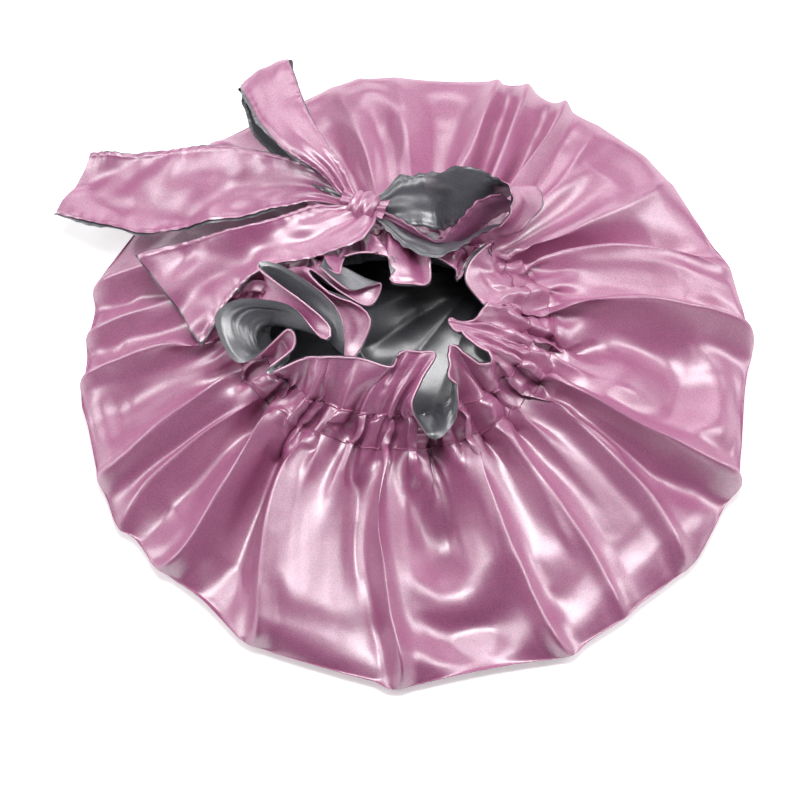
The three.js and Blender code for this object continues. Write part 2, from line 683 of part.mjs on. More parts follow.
// Back loop: a flattened bow loop that stands out over the back of the crown.
const BACK_LOOP = 117;
addPlies(
  ["back_loop_face", "back_loop_lining"],
  ribbon({
    path: tiePath(tieRoot(-1, BACK_LOOP, ROOT_PITCH, 0), BACK_LOOP_LENGTH, [
      [BACK_LOOP, 0, 0.02],
      [BACK_LOOP, 0.34, 0.08],
      [BACK_LOOP, 0.73, 0.04],
      [BACK_LOOP, 0.94, -0.05],
      [BACK_LOOP, 1, -0.12],
      [BACK_LOOP, 0.93, -0.18],
      [BACK_LOOP, 0.67, -0.13],
      [BACK_LOOP, 0.34, -0.05],
      [BACK_LOOP, 0, -0.015],
    ]),
    sides: Array.from({ length: 9 }, () => acrossTie(BACK_LOOP, 12)),
    width: (run, length) => opening(BACK_LOOP_WIDTH)(Math.min(run, length - run)),
    steps: 22,
    across: 3,
  }),
);

// Right loop: a bow loop that stands on its lower edge and opens upwards like a boat.
const RIGHT_LOOP = 352;
const boatEdge = (turn, lean) => polar(RIGHT_LOOP + turn, Math.cos(radians(lean)), Math.sin(radians(lean)));
addPlies(
  ["right_loop_face", "right_loop_lining"],
  ribbon({
    path: tiePath(tieRoot(1, BOW_ANGLE, 0, 1), RIGHT_LOOP_LENGTH, [
      [BOW_ANGLE + 90, 0.045, 0],
      [RIGHT_LOOP + 24, 0.32, 0.16],
      [RIGHT_LOOP + 15, 0.7, 0.22],
      [RIGHT_LOOP + 2, 1, 0.2],
      [RIGHT_LOOP - 12, 0.91, 0.19],
      [RIGHT_LOOP - 30, 0.63, 0.17],
      [RIGHT_LOOP - 36, 0.37, 0.13],
      [RIGHT_LOOP - 34, 0.12, 0.04],
      [BOW_ANGLE - 90, 0.045, 0],
    ]),
    sides: [
      boatEdge(90, 70),
      boatEdge(90, 60),
      boatEdge(70, 60),
      boatEdge(0, 55),
      boatEdge(-60, 50),
      boatEdge(-90, 45),
      boatEdge(-90, 50),
      boatEdge(-90, 60),
      boatEdge(-90, 70),
    ],
    width: (run, length) => opening(RIGHT_LOOP_WIDTH)(Math.min(run, length - run)),
    steps: 20,
    across: 3,
  }),
);

export default bonnet;
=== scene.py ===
import math

import bpy
import numpy as np
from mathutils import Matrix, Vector


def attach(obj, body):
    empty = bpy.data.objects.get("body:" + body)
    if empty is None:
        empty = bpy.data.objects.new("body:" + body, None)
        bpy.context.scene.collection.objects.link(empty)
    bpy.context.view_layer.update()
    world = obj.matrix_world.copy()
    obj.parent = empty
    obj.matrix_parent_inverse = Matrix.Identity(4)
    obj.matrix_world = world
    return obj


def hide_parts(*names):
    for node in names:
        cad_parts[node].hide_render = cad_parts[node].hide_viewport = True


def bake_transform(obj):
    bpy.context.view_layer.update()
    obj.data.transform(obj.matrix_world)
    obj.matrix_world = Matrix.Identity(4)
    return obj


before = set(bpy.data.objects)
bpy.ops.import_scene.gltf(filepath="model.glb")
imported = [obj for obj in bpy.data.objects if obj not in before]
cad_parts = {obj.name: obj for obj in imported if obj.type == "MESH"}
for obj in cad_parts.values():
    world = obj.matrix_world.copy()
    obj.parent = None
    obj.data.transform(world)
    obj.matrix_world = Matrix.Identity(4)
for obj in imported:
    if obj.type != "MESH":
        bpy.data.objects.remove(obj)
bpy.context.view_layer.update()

# Camera: the bonnet lies on a table, with its mouth up. It is seen from its front, steeply from above,
# through a long lens.
CAMERA_ELEVATION = math.radians(62)
CAMERA_DISTANCE = 3.5
VIEW_WIDTH = 0.448
SENSOR_WIDTH = 36
camera_aim = Vector((-0.010, -0.0057, 0.0))
camera = bpy.data.objects.new("camera", bpy.data.cameras.new("camera"))
bpy.context.scene.collection.objects.link(camera)
camera.data.sensor_width = SENSOR_WIDTH
camera.data.lens = SENSOR_WIDTH * CAMERA_DISTANCE / VIEW_WIDTH
camera.data.clip_end = 20
camera_way = Vector((0, -math.cos(CAMERA_ELEVATION), math.sin(CAMERA_ELEVATION)))
camera.location = camera_aim + CAMERA_DISTANCE * camera_way
camera.rotation_euler = (-camera_way).to_track_quat("-Z", "Y").to_euler()
bpy.context.scene.camera = camera
bpy.context.scene.view_settings.view_transform = "Standard"

# Studio: a white table with four soft boxes over it. The table glows a little where it is seen, and the
# room round it is dark, so that the satin has both bright and dark to reflect.
TABLE_HALF = 40
TABLE_GAP = 0.0004  # how far the table's top lies under the crown's flat base
LAMP_AIM = Vector((0, 0, 0.03))


def add_node(tree, kind, **values):
    """A shader node with values for its sockets. An underscore stands for a space in a socket's name."""
    node = tree.nodes.new("ShaderNode" + kind)
    for socket, value in values.items():
        node.inputs[socket.replace("_", " ")].default_value = value
    return node


table_mesh = bpy.data.meshes.new("floor")
table_corners = [(x * TABLE_HALF, y * TABLE_HALF, 0) for x, y in ((-1, -1), (1, -1), (1, 1), (-1, 1))]
table_mesh.from_pydata(table_corners, [], [(0, 1, 2, 3)])
table = bpy.data.objects.new("floor", table_mesh)
bpy.context.scene.collection.objects.link(table)
table.location.z = -TABLE_GAP
table_paint = bpy.data.materials.new("floor")
table_paint.use_nodes = True
tree = table_paint.node_tree
matt = tree.nodes["Principled BSDF"]
matt.inputs["Base Color"].default_value = (0.9, 0.9, 0.9, 1)
matt.inputs["Roughness"].default_value = 0.9
place = add_node(tree, "TexCoord")
away = add_node(tree, "VectorMath")
away.operation = "LENGTH"
fading = add_node(tree, "MapRange", From_Min=0.5, From_Max=2.0, To_Min=0.42, To_Max=1)
glow = add_node(tree, "Emission", Color=(1, 1, 1, 1))
glowing = add_node(tree, "AddShader")
table_look = add_node(tree, "MixShader")
path = add_node(tree, "LightPath")
tree.links.new(place.outputs["Object"], away.inputs[0])
tree.links.new(away.outputs["Value"], fading.inputs["Value"])
tree.links.new(fading.outputs["Result"], glow.inputs["Strength"])
tree.links.new(matt.outputs[0], glowing.inputs[0])
tree.links.new(glow.outputs[0], glowing.inputs[1])
seen = path.outputs["Is Camera Ray"]
for kind in ("Is Glossy Ray", "Is Transmission Ray"):
    either = add_node(tree, "Math")
    either.operation = "MAXIMUM"
    tree.links.new(seen, either.inputs[0])
    tree.links.new(path.outputs[kind], either.inputs[1])
    seen = either.outputs["Value"]
tree.links.new(seen, table_look.inputs["Fac"])
tree.links.new(matt.outputs[0], table_look.inputs[1])
tree.links.new(glowing.outputs[0], table_look.inputs[2])
tree.links.new(table_look.outputs[0], tree.nodes["Material Output"].inputs["Surface"])
table_mesh.materials.append(table_paint)

world = bpy.data.worlds.new("studio")
bpy.context.scene.world = world
world.use_nodes = True
world.node_tree.nodes["Background"].inputs["Color"].default_value = (0.04, 0.04, 0.042, 1)

for name, spot, size, power in (
    ("overhead", (0.0, 0.05, 1.35), (0.8, 0.35), 13.5),
    ("back", (0.0, 1.15, 0.75), (1.5, 0.5), 7.5),
    ("left", (-1.1, 0.1, 0.7), (0.4, 0.8), 6.5),
    ("right", (1.05, 0.1, 0.75), (0.4, 0.8), 7),
):
    lamp = bpy.data.objects.new(name, bpy.data.lights.new(name, "AREA"))
    lamp.data.shape = "RECTANGLE"
    lamp.data.size, lamp.data.size_y = size
    lamp.data.energy = power
    lamp.location = spot
    lamp.rotation_euler = (LAMP_AIM - lamp.location).to_track_quat("-Z", "Y").to_euler()
    bpy.context.scene.collection.objects.link(lamp)

# Outer cloth: one round cut of rose satin. It lies flat at the crown's base, turns up round the rim,
# climbs to the mouth in folds, puffs over the elastic between two rows of stitching, and ends in a ruffle.
# Its sizes are in millimetres and its angles in degrees, counter-clockwise from +X.
COLUMNS = 720
BASE_ROWS, UNDER_ROWS, TOP_ROWS, CHANNEL_ROWS, RUFFLE_ROWS = 6, 8, 70, 12, 30
CROWN_RADIUS = 188.0
RIM_DEPTH = 18.0
RIM_HALF_HEIGHT = 6.5
BACK_SWELL, BACK_ANGLE, BACK_SPREAD = 11, 75, 110  # how much more the rim stands up at the back
MOUTH = (-13.0, 9.0, 88.0, 66.0)  # middle and half sizes of the oval, at the lower stitching
MOUTH_HEIGHT = 46.0
MOUTH_TILT = 6.0
CHANNEL_WIDTH = 18.0
CHANNEL_SLOPE = math.radians(40)
RUFFLE_WIDTH = 38.0
RUFFLE_REACH = 66.0  # the farthest that the ruffle's edge stands from its foot


def bump(angle, middle, half_width):
    """1 at a middle angle, falling smoothly to 0 at half_width to either side."""
    away = np.abs((angle - middle + 180) % 360 - 180) / half_width
    return np.where(away < 1, np.cos(np.minimum(away, 1) * np.pi / 2) ** 2, 0)


def mouth_radius(angle):
    """How far the mouth's oval is from the middle of the crown."""
    x, y = np.cos(np.radians(angle)), np.sin(np.radians(angle))
    cx, cy, half_x, half_y = MOUTH
    a = (x / half_x) ** 2 + (y / half_y) ** 2
    b = -2 * (cx * x / half_x**2 + cy * y / half_y**2)
    c = (cx / half_x) ** 2 + (cy / half_y) ** 2 - 1
    return (-b + np.sqrt(b * b - 4 * a * c)) / (2 * a)


def mouth_height(angle):
    return MOUTH_HEIGHT + MOUTH_TILT * np.sin(np.radians(angle))


# Each fold: its ridge's angle at the mouth, a third and two thirds of the way out, and at the rim; its
# crest's height and how much it rolls over into a tube; then the hollow up to the next ridge: its depth,
# where between the two ridges it is deepest, how much of it there is near the mouth, whether it is a
# sharp crease (0) or a round hollow (1), and the swags that sag across it.
FOLDS = (
    ((19, 14, 10.5, 6), 10, 1.8, 10, 0.3, 0.5, 0.8, 1.2),
    ((42, 35, 25, 22.5), 4, 0.3, 16, 0.25, 0.7, 0.6, 0.6),
    ((50, 41, 40, 40), 4, 0.3, 5, 0.5, 0.6, 1, 1.4),
    ((58, 55, 56, 58), 2, 0, 6, 0.6, 0.6, 1, 0.5),
    ((62, 62, 63, 65), 7, 0.8, 13, 0.4, 0.6, 0.8, 0.5),
    ((69, 69.5, 70.5, 71.5), 6, 0.5, 13, 0.6, 0.6, 0.8, 0.5),
    ((78, 77, 76, 77), 5, 0.3, 12, 0.4, 0.5, 1, 1.4),
    ((92, 92, 93, 94), 2, 0, 4, 0.5, 0.6, 1, 2.4),
    ((103, 103, 104, 105), 3, 0, 5, 0.5, 0.6, 1, 2.0),
    ((113, 113, 114, 116), 3, 0.2, 7, 0.5, 0.6, 0.9, 1),
    ((124, 124, 126, 128), 4, 0.3, 9, 0.6, 0.6, 0.8, 1),
    ((150, 155, 160.5, 162.5), 7, 0.8, 11, 0.35, 0.6, 0.9, 0.8),
    ((162, 166, 170, 171.5), 5, 0.8, 9, 0.5, 0.6, 0.9, 1),
    ((174, 177, 179, 180.5), 6, 0.8, 11, 0.4, 0.6, 0.9, 1.2),
    ((191, 196, 199, 198.5), 7, 1, 6, 0.5, 0.9, 0.7, 0),
    ((198, 200.5, 206, 208.6), 2, 0.3, 13, 0.35, 0.8, 0.7, 0.6),
    ((204.5, 216, 220.5, 217), 6, 0.8, 21, 0.5, 0.5, 0.7, 0),
    ((217.5, 228.5, 239, 239), 7, 1, 14, 0.86, 0.5, 0.5, 0.8),
    ((251.5, 258.5, 265.8, 266), 9, 1, 17, 0.5, 0.5, 1, 4.2),
    ((295.5, 294.5, 294.5, 297), 6, 0.6, 8, 0.3, 0.6, 0.8, 1.4),
    ((316, 313, 309.5, 308.5), 3, 0.3, 6, 0.3, 0.6, 0.8, 0.6),
    ((334, 332, 325.5, 322.5), 6, 0.8, 10, 0.8, 0.7, 0.6, 0.8),
    ((343, 339, 339.5, 340), 11, 2.4, 15, 0.7, 0.5, 0.9, 5),
)
CREST, ROLL, DEPTH, DEEPEST, NEAR_MOUTH, ROUND, SWAG = np.array([fold[1:] for fold in FOLDS]).T
RIDGE_PLACES = np.array([0, 1 / 3, 2 / 3, 1])


def smooth_steps(x, places, values):
    """Values at places, joined by smooth steps."""
    index = np.clip(np.searchsorted(places, x) - 1, 0, len(places) - 2)
    t = np.clip((x - places[index]) / (places[index + 1] - places[index]), 0, 1)
    t = t * t * (3 - 2 * t)
    return values[index] * (1 - t) + values[index + 1] * t


def ridge_angles(s):
    """The ridges' angles at s from the mouth (0) to the rim (1), and the first again after a full turn."""
    basis = [np.prod([(s - b) / (a - b) for b in RIDGE_PLACES if b != a]) for a in RIDGE_PLACES]
    angles = np.array([np.dot(basis, fold[0]) for fold in FOLDS])
    return np.append(angles, angles[0] + 360)


# Each column of points stays in its own fold, at its own share of the way to the next ridge.
middle_ridges = ridge_angles(0.5)
middle_angle = middle_ridges[0] + np.arange(COLUMNS) * 360.0 / COLUMNS
FOLD = np.searchsorted(middle_ridges, middle_angle, side="right") - 1
NEXT_FOLD = (FOLD + 1) % len(FOLDS)
SHARE = (middle_angle - middle_ridges[FOLD]) / np.diff(middle_ridges)[FOLD]


def column_angles(s):
    ridges = ridge_angles(s)
    return ridges[FOLD] * (1 - SHARE) + ridges[FOLD + 1] * SHARE


MOUTH_THETA, RIM_THETA = column_angles(0), column_angles(1)
# How much the crests, hollows and swags are drawn out, and how they fade from the mouth to the rim.
CREST_SCALE, HOLLOW_SCALE, SWAG_SCALE = 1.3, 1.4, 1.5
CREST_FADE = (np.array([0, 0.2, 0.7, 1.0]), np.array([0.3, 1, 0.8, 0.1]))
TUBE_FADE = (np.array([0, 0.1, 0.8, 1.0]), np.array([0.3, 1, 1, 0.1]))
HOLLOW_PLACES = np.array([0, 0.35, 0.6, 1.0])
HOLLOW_FADE = (1, 0.85, 0.15)  # after the share near the mouth, which each fold gives
SWAGS = 2.3  # waves from the mouth to the rim
SWAG_END = 0.85
SWAG_SAG = 0.55  # how far a swag hangs out in its middle, in waves
SWAG_SHIFT = 0.13  # from one fold to the next, in waves
TUBE_HEIGHT, TUBE_UNDERCUT = 3.5, 1.5


def fold_height(s, radius):
    """How far the folds lift or sag the cloth at s from the mouth to the rim."""
    lift = CREST[FOLD] * (1 - SHARE) + CREST[NEXT_FOLD] * SHARE
    lift = CREST_SCALE * lift * smooth_steps(s, *CREST_FADE)
    sags = []
    for depth, near_mouth in zip(DEPTH, NEAR_MOUTH):
        fade = np.array([near_mouth, *HOLLOW_FADE])
        sags.append(HOLLOW_SCALE * depth * smooth_steps(s, HOLLOW_PLACES, fade))
    deepest = DEEPEST[FOLD]
    side = np.where(SHARE < deepest, SHARE / deepest, (1 - SHARE) / (1 - deepest))
    valley = (1 - ROUND[FOLD]) * (1 - np.cos(np.pi / 2 * side)) + ROUND[FOLD] * np.sin(np.pi / 2 * side)
    hang = 1 - (2 * SHARE - 1) ** 2
    swag = np.cos(2 * np.pi * (SWAGS * s - SWAG_SAG * hang + SWAG_SHIFT * FOLD))
    drape = hang * math.sin(math.pi * min(1, s / SWAG_END)) * swag
    wide = np.radians(np.diff(ridge_angles(s)))[FOLD] * radius
    tube = 0.0
    for nearest, away in ((FOLD, SHARE * wide), (NEXT_FOLD, (1 - SHARE) * wide)):
        thick = 2.5 + 2 * ROLL[nearest]
        head = np.exp(-((away / thick) ** 2))
        foot = np.exp(-((away / thick - 2) ** 2))
        tube = tube + ROLL[nearest] * (TUBE_HEIGHT * head - TUBE_UNDERCUT * foot)
    tube = tube * smooth_steps(s, *TUBE_FADE)
    return lift - np.array(sags)[FOLD] * valley + SWAG_SCALE * SWAG[FOLD] * drape + tube


PLEATS = 34  # round the mouth
# Waves round the mouth that make the pleats' spacing, and then their height, uneven: size, turns, phase.
PLEAT_SPACING = ((0.06, 5, 1), (0.035, 11, 2.2), (0.02, 17, 0))
PLEAT_HEIGHT = ((0.4, 53, 1.3), (0.5, 13, 0.4))


def gathers(theta, amount):
    """The small pleats that the elastic draws the cloth into: narrow creases between rounded heads."""
    t = np.radians(theta)
    warp = t
    for size, turns, phase in PLEAT_SPACING:
        warp = warp + size * np.sin(turns * t + phase)
    head = 1 - 2 * np.abs(np.cos(PLEATS / 2 * warp)) ** 5
    wave = (0.75 + 0.35 * np.sin(7 * t + 2)) * head
    for size, turns, phase in PLEAT_HEIGHT:
        wave = wave + size * np.cos(turns * warp + phase)
    return amount * wave / 1.3


def crumple(x, y, seed):
    """Irregular smooth waves about one unit long, between about -1 and 1."""
    total = 0.0
    for k in range(6):
        turn = seed + 2.4 * k
        along = x * math.cos(turn) + y * math.sin(turn)
        bent = np.sin(1.7 * (x - y) + k)
        total = total + np.sin(2 * np.pi * along * (0.6 + 0.15 * k) + seed * (k + 1.3) + bent)
    return total / 3.2


# The corners of the crown's outline, where large folds reach its edge: angle and radius.
CORNERS = (
    (10, 190), (25, 191), (48, 194), (73, 199), (100, 198), (130, 194), (160, 192),
    (184, 189), (207, 189), (238, 185), (265, 188), (297, 187), (325, 188), (340, 188),
)
STRAIGHT = 0.75  # 1 is a straight edge from corner to corner, 0 an arc


def rim_radius(theta):
    """The crown's edge: nearly straight from corner to corner."""
    angles, radii = np.array(CORNERS, float).T
    angles = np.concatenate([angles[-1:] - 360, angles, angles[:1] + 360])
    radii = np.concatenate([radii[-1:], radii, radii[:1]])
    index = np.searchsorted(angles, theta, side="right") - 1
    a, b = np.radians(angles[index]), np.radians(angles[index + 1])
    t = np.radians(theta)
    chord = radii[index] * radii[index + 1] * np.sin(b - a)
    chord = chord / (radii[index] * np.sin(t - a) + radii[index + 1] * np.sin(b - t))
    share = (t - a) / (b - a)
    arc = radii[index] * (1 - share) + radii[index + 1] * share
    return STRAIGHT * chord + (1 - STRAIGHT) * arc


def polar(theta, radius, height):
    t = np.radians(theta)
    return np.stack([radius * np.cos(t), radius * np.sin(t), height + 0 * t], axis=-1)


def steps(count):
    """Equal shares of a way, from the first step to the whole."""
    return np.linspace(0, 1, count + 1)[1:]


def bend(t, start, from_start, to_end, end):
    """A point at t on a curve that leaves start towards from_start, and reaches end from to_end."""
    first = (1 - t) ** 3 * start + 3 * t * (1 - t) ** 2 * from_start
    return first + 3 * t * t * (1 - t) * to_end + t**3 * end


BASE_FROM = 0.8  # the fine rows of the base start at this share of its radius
RIM_RISE = 1.2  # how far the cloth rises straight up from the rim, over the rim's half height
TO_MOUTH = np.array([[42.0], [-2.0]])  # the way in from the crown's slope to the mouth: radius and height


def crown_rows():
    """Rows from the base round the rim to the lower stitching, without folds: radius and height."""
    half = RIM_HALF_HEIGHT + BACK_SWELL * bump(RIM_THETA, BACK_ANGLE, BACK_SPREAD)
    edge = rim_radius(RIM_THETA % 360)
    rows = []
    for share in np.linspace(BASE_FROM, 1, BASE_ROWS):
        rows.append(((edge - RIM_DEPTH) * share, 0 * half))
    for turn in np.linspace(-np.pi / 2, 0, UNDER_ROWS + 1)[1:]:
        rows.append((edge - RIM_DEPTH * (1 - np.cos(turn)), half * (1 + np.sin(turn))))
    rim = np.array([edge, half])
    mouth = np.array([mouth_radius(MOUTH_THETA), mouth_height(MOUTH_THETA)])
    over_rim = rim + np.array([0 * half, RIM_RISE * half])
    for t in steps(TOP_ROWS):
        rows.append(bend(t, rim, over_rim, mouth + TO_MOUTH, mouth))
    return np.array(rows)


GATHER_HEIGHT = 5.5
GATHER_REACH = 0.13  # how far the gathers run out into the crown, as a share of the way to the rim
SEAM_REACH = 0.05  # where the lower stitching starts to flatten the cloth
SEAM_FLATTENS = (0.85, 0.5)  # the share of the folds, and of the gathers, that it takes away
LEAST_HEIGHT = 7  # above the table, once past the rim


def folded(profile):
    """The crown's points, with its folds pressed in square to the smooth profile."""
    along = np.gradient(profile, axis=0)
    out = np.stack([along[:, 1], -along[:, 0]], axis=1) / np.linalg.norm(along, axis=1)[:, None]
    points = []
    for row in range(len(profile)):
        past_rim = row - (BASE_ROWS + UNDER_ROWS - 1)
        s = 1 - max(past_rim, 0) / TOP_ROWS
        seam = max(0.0, 1 - s / SEAM_REACH)
        height = fold_height(s, profile[row][0]) * (1 - SEAM_FLATTENS[0] * seam)
        gathered = GATHER_HEIGHT * math.exp(-s / GATHER_REACH) * (1 - SEAM_FLATTENS[1] * seam)
        height = height + gathers(MOUTH_THETA, gathered)
        height = height * np.clip(1 + past_rim / UNDER_ROWS, 0, 1)
        radius, z = profile[row] + out[row] * height
        points.append(polar(column_angles(s), radius, np.maximum(z, np.clip(past_rim, 0, LEAST_HEIGHT))))
    return np.array(points)


SPEED_KEPT = 0.93  # from one step of the falling cloth to the next


def pull(a, b, rest):
    """Move the ends of links to their length at rest."""
    way = b - a
    length = np.sqrt(np.einsum("ijk,ijk->ij", way, way)) + 1e-9
    way *= (0.5 * (1 - rest / length))[..., None]
    a += way
    b -= way


def towards_even(cloth):
    """The way from each point of a closed grid to the middle of its neighbours."""
    way = 0.25 * (np.roll(cloth, 1, 1) + np.roll(cloth, -1, 1)) - 0.5 * cloth
    way[1:-1] += 0.25 * (cloth[2:] + cloth[:-2]) - 0.5 * cloth[1:-1]
    return way


def settle(cloth, rest_round, rest_out, leash, times, gravity, stiffness):
    """Let a closed grid of cloth fall into its folds. leash is how far each point may move."""
    rows = len(cloth)
    start = cloth.copy()
    before = cloth.copy()
    for _ in range(times):
        speed = (cloth - before) * SPEED_KEPT
        before = cloth.copy()
        cloth = cloth + speed
        cloth[..., 2] -= gravity
        for _ in range(2):
            for _ in range(2):
                pull(cloth[:, 0::2], cloth[:, 1::2], rest_round[:, 0::2])
                cloth = np.roll(cloth, -1, axis=1)
                rest_round = np.roll(rest_round, -1, axis=1)
            cloth = np.roll(cloth, 2, axis=1)
            rest_round = np.roll(rest_round, 2, axis=1)
            for first in (0, 1):
                end = first + 2 * ((rows - first) // 2)
                pull(cloth[first:end:2], cloth[first + 1 : end : 2], rest_out[first : end - 1 : 2])
        cloth = cloth + stiffness * towards_even(cloth)
        moved = cloth - start
        far = np.linalg.norm(moved, axis=-1)
        cloth = start + moved * np.minimum(1, leash / np.maximum(far, 1e-9))[..., None]
        np.maximum(cloth[..., 2], 0, out=cloth[..., 2])
    return cloth


CHANNEL_SEAT, CHANNEL_PUFF, CHANNEL_CRUMPLE = 0.3, 2.8, 0.8
CHANNEL_PLEATS = (2.4, 1.2)  # the pleats' height at the stitching, and how much more there is between


def channel_row(t, out):
    """A row of the channel, at t from its lower to its upper stitching and out from its middle surface."""
    up = t * CHANNEL_WIDTH
    radius = mouth_radius(MOUTH_THETA) - up * math.cos(CHANNEL_SLOPE) + out * math.sin(CHANNEL_SLOPE)
    height = mouth_height(MOUTH_THETA) + up * math.sin(CHANNEL_SLOPE) + out * math.cos(CHANNEL_SLOPE)
    return polar(MOUTH_THETA, radius, height)


def channel_rows():
    rows = []
    for t in steps(CHANNEL_ROWS):
        puff = math.sin(math.pi * t) ** 0.7
        pleats = gathers(MOUTH_THETA, CHANNEL_PLEATS[0] + CHANNEL_PLEATS[1] * puff)
        out = CHANNEL_SEAT + CHANNEL_PUFF * puff + pleats
        rows.append(channel_row(t, out + CHANNEL_CRUMPLE * crumple(MOUTH_THETA / 9, t * 2, 2.5) * puff))
    return rows


# The ruffle's edge, counter-clockwise: the angle of its foot on the mouth, and the edge's place.
RUFFLE_EDGE = (
    # the right side and the back
    (355, 29, 3, 76), (3, 34, 8, 77), (11, 39, 13, 79), (18, 36, 17, 72), (26, 27, 28, 76),
    (33, 29, 39, 78), (40, 40, 47, 84), (46, 31, 46, 74), (52, 22, 34, 68), (60, 20, 40, 72),
    (68, 9, 44, 74), (75, 7, 42, 73), (80, 6, 31, 70), (87, -4, 30, 69), (93, -15, 32, 70),
    (98, -12, 43, 72), (105, -26, 49, 71), (112, -41, 46, 71),
    # the folds that stand side by side at the left
    (118, -44, 34, 74), (121, -54, 35, 80), (125, -39, 23, 77), (128, -27, 25, 76), (130, -21, 27, 74),
    (132, -23, 21, 70), (134, -29, 16, 70), (137, -44, 23, 73), (140, -55, 31, 77), (141.5, -60, 33, 80),
    (143, -59, 29, 80), (145, -48, 18, 79), (147, -35, 13, 77), (149, -27, 6, 74), (151, -29, -3, 70),
    (152.5, -35, -13, 66), (154, -40, -15, 68), (156, -41, -2, 75), (158, -46, 11, 79), (160, -60, 24, 81),
    (162, -76, 35, 81), (163.5, -86, 37, 81), (165, -88, 34, 81), (167, -78, 25, 81), (169, -66, 16, 80),
    (171, -53, 5, 78), (173, -48, -2, 76), (174.5, -49, -8, 75), (176, -54, -8, 75), (178, -60, -1, 77),
    (181, -68, 9, 78), (184, -80, 14, 78), (187, -100, 15, 77),
    # the turned-out corner at the left, then the smooth panel at the front and its step
    (191, -111, 7, 71), (196, -102, -15, 67), (200, -91, -17, 69), (205, -72, -5, 81), (209, -68, -14, 77),
    (213, -82, -28, 75), (222, -66, -21, 75), (236, -49, -19, 75), (248, -32, -20, 75), (253, -16, -25, 75),
    (256, -12, -18, 75), (262, -7, -16, 76), (268, 1, -17, 77), (272, 9, -20, 77),
    # the flap that falls out over the channel
    (277, -4, -46, 72), (281, 5, -58, 58), (284, 14, -59, 60), (288, 20, -52, 66), (291, 22, -44, 72),
    (295, 20, -37, 77), (299, 17, -30, 81), (303, 16, -22, 83), (308, 19, -16, 82),
    # the fold at the right
    (316, 35, -25, 77), (320, 40, -24, 77), (324, 39, -20, 79), (331, 29, -11, 80), (339, 21, -5, 80),
    (345, 17, -1, 80), (350, 18, 2, 80),
)
UPPER_OVAL = 52 / 74  # the mouth's width over its length, at the upper stitching
RISE_IN, RISE_UP = 0.6, 0.8  # the way in which the ruffle leaves the stitching
RUFFLE_STAND = 0.34  # how far it goes that way before it bends over, over its width
RUFFLE_LEAN = 0.35  # the last share of its way, which runs straight to the edge
PLEAT_REACH = 0.3  # how far the gathers run up it
RUFFLE_WAVE, RUFFLE_CREASE, RIGHT_CREASE = 1.2, 1.2, 3.2
CORNER_CREASE, CORNER_PLACE, CORNER_WIDTH = 4, 0.55, 0.12


def curve_through(p, t):
    """Points at t between the second and third of four points, on a smooth line through them all."""
    return 0.5 * (
        2 * p[1]
        + (p[2] - p[0]) * t
        + (2 * p[0] - 5 * p[1] + 4 * p[2] - p[3]) * t**2
        + (3 * p[1] - p[0] - 3 * p[2] + p[3]) * t**3
    )


def spline(values, at):
    """Points on a smooth closed line through values, at fractional indices."""
    index = np.floor(at).astype(int)
    p = [values[(index + k) % len(values)] for k in (-1, 0, 1, 2)]
    return curve_through(p, (at - index)[:, None])


def unit(way):
    """Vectors of the same direction, one long."""
    return way / np.maximum(np.linalg.norm(way, axis=-1, keepdims=True), 1e-9)


def grid_normals(grid, closed=True):
    if closed:
        across = np.roll(grid, -1, axis=1) - np.roll(grid, 1, axis=1)
    else:
        across = np.gradient(grid, axis=1)
    return unit(np.cross(across, np.gradient(grid, axis=0)))


def ruffle_rows(foot):
    """The ruffle's rows, from its foot at the upper stitching up and over to its edge."""
    edge = np.array(RUFFLE_EDGE, float)
    angles = edge[:, 0].copy()
    turns = np.append(0, np.cumsum((np.diff(angles) % 360)))
    total = turns[-1] + (angles[0] - angles[-1]) % 360
    base = np.degrees(np.arctan2(foot[:, 1] - MOUTH[1], (foot[:, 0] - MOUTH[0]) * UPPER_OVAL)) % 360
    run = (base - angles[0]) % 360
    at = np.interp(run, np.append(turns, total), np.arange(len(edge) + 1))
    rim = spline(edge[:, 1:], at)
    way = rim - foot
    length = np.linalg.norm(way, axis=1, keepdims=True)
    rim = foot + way * np.minimum(1, RUFFLE_REACH / length)
    away = unit(foot[:, :2] - np.array(MOUTH[:2]))
    rise_in = -away * math.cos(CHANNEL_SLOPE) * RISE_IN
    rise = np.concatenate([rise_in, np.full((len(foot), 1), RISE_UP)], axis=1)
    start = foot + rise * RUFFLE_WIDTH * RUFFLE_STAND
    finish = rim - (rim - start) * RUFFLE_LEAN
    heights = steps(RUFFLE_ROWS)
    rows = np.array([bend(t, foot, start, finish, rim) for t in heights])
    t = heights[:, None]
    wide = MOUTH_THETA[None, :]
    small = gathers(MOUTH_THETA, 1.0)[None, :] * np.exp(-t / PLEAT_REACH)
    small = small + RUFFLE_WAVE * t * crumple(wide / 14, 1.2 * t, 3.3)
    small = small + RUFFLE_CREASE * np.sqrt(t) * (0.5 - np.abs(crumple(wide / 11, 0.8 * t, 1.1)))
    # the right side is more creased, and the corner at the left is creased across
    right_side = bump(wide, 5, 60)
    creases = 0.5 - np.abs(crumple(wide / 20, 1.6 * t, 2.2))
    small = small + RIGHT_CREASE * np.sin(np.pi * t) * right_side * creases
    left_corner = bump(wide, 194, 11)
    small = small - CORNER_CREASE * left_corner * np.exp(-np.abs(t - CORNER_PLACE) / CORNER_WIDTH)
    return list(rows + small[..., None] * grid_normals(rows))


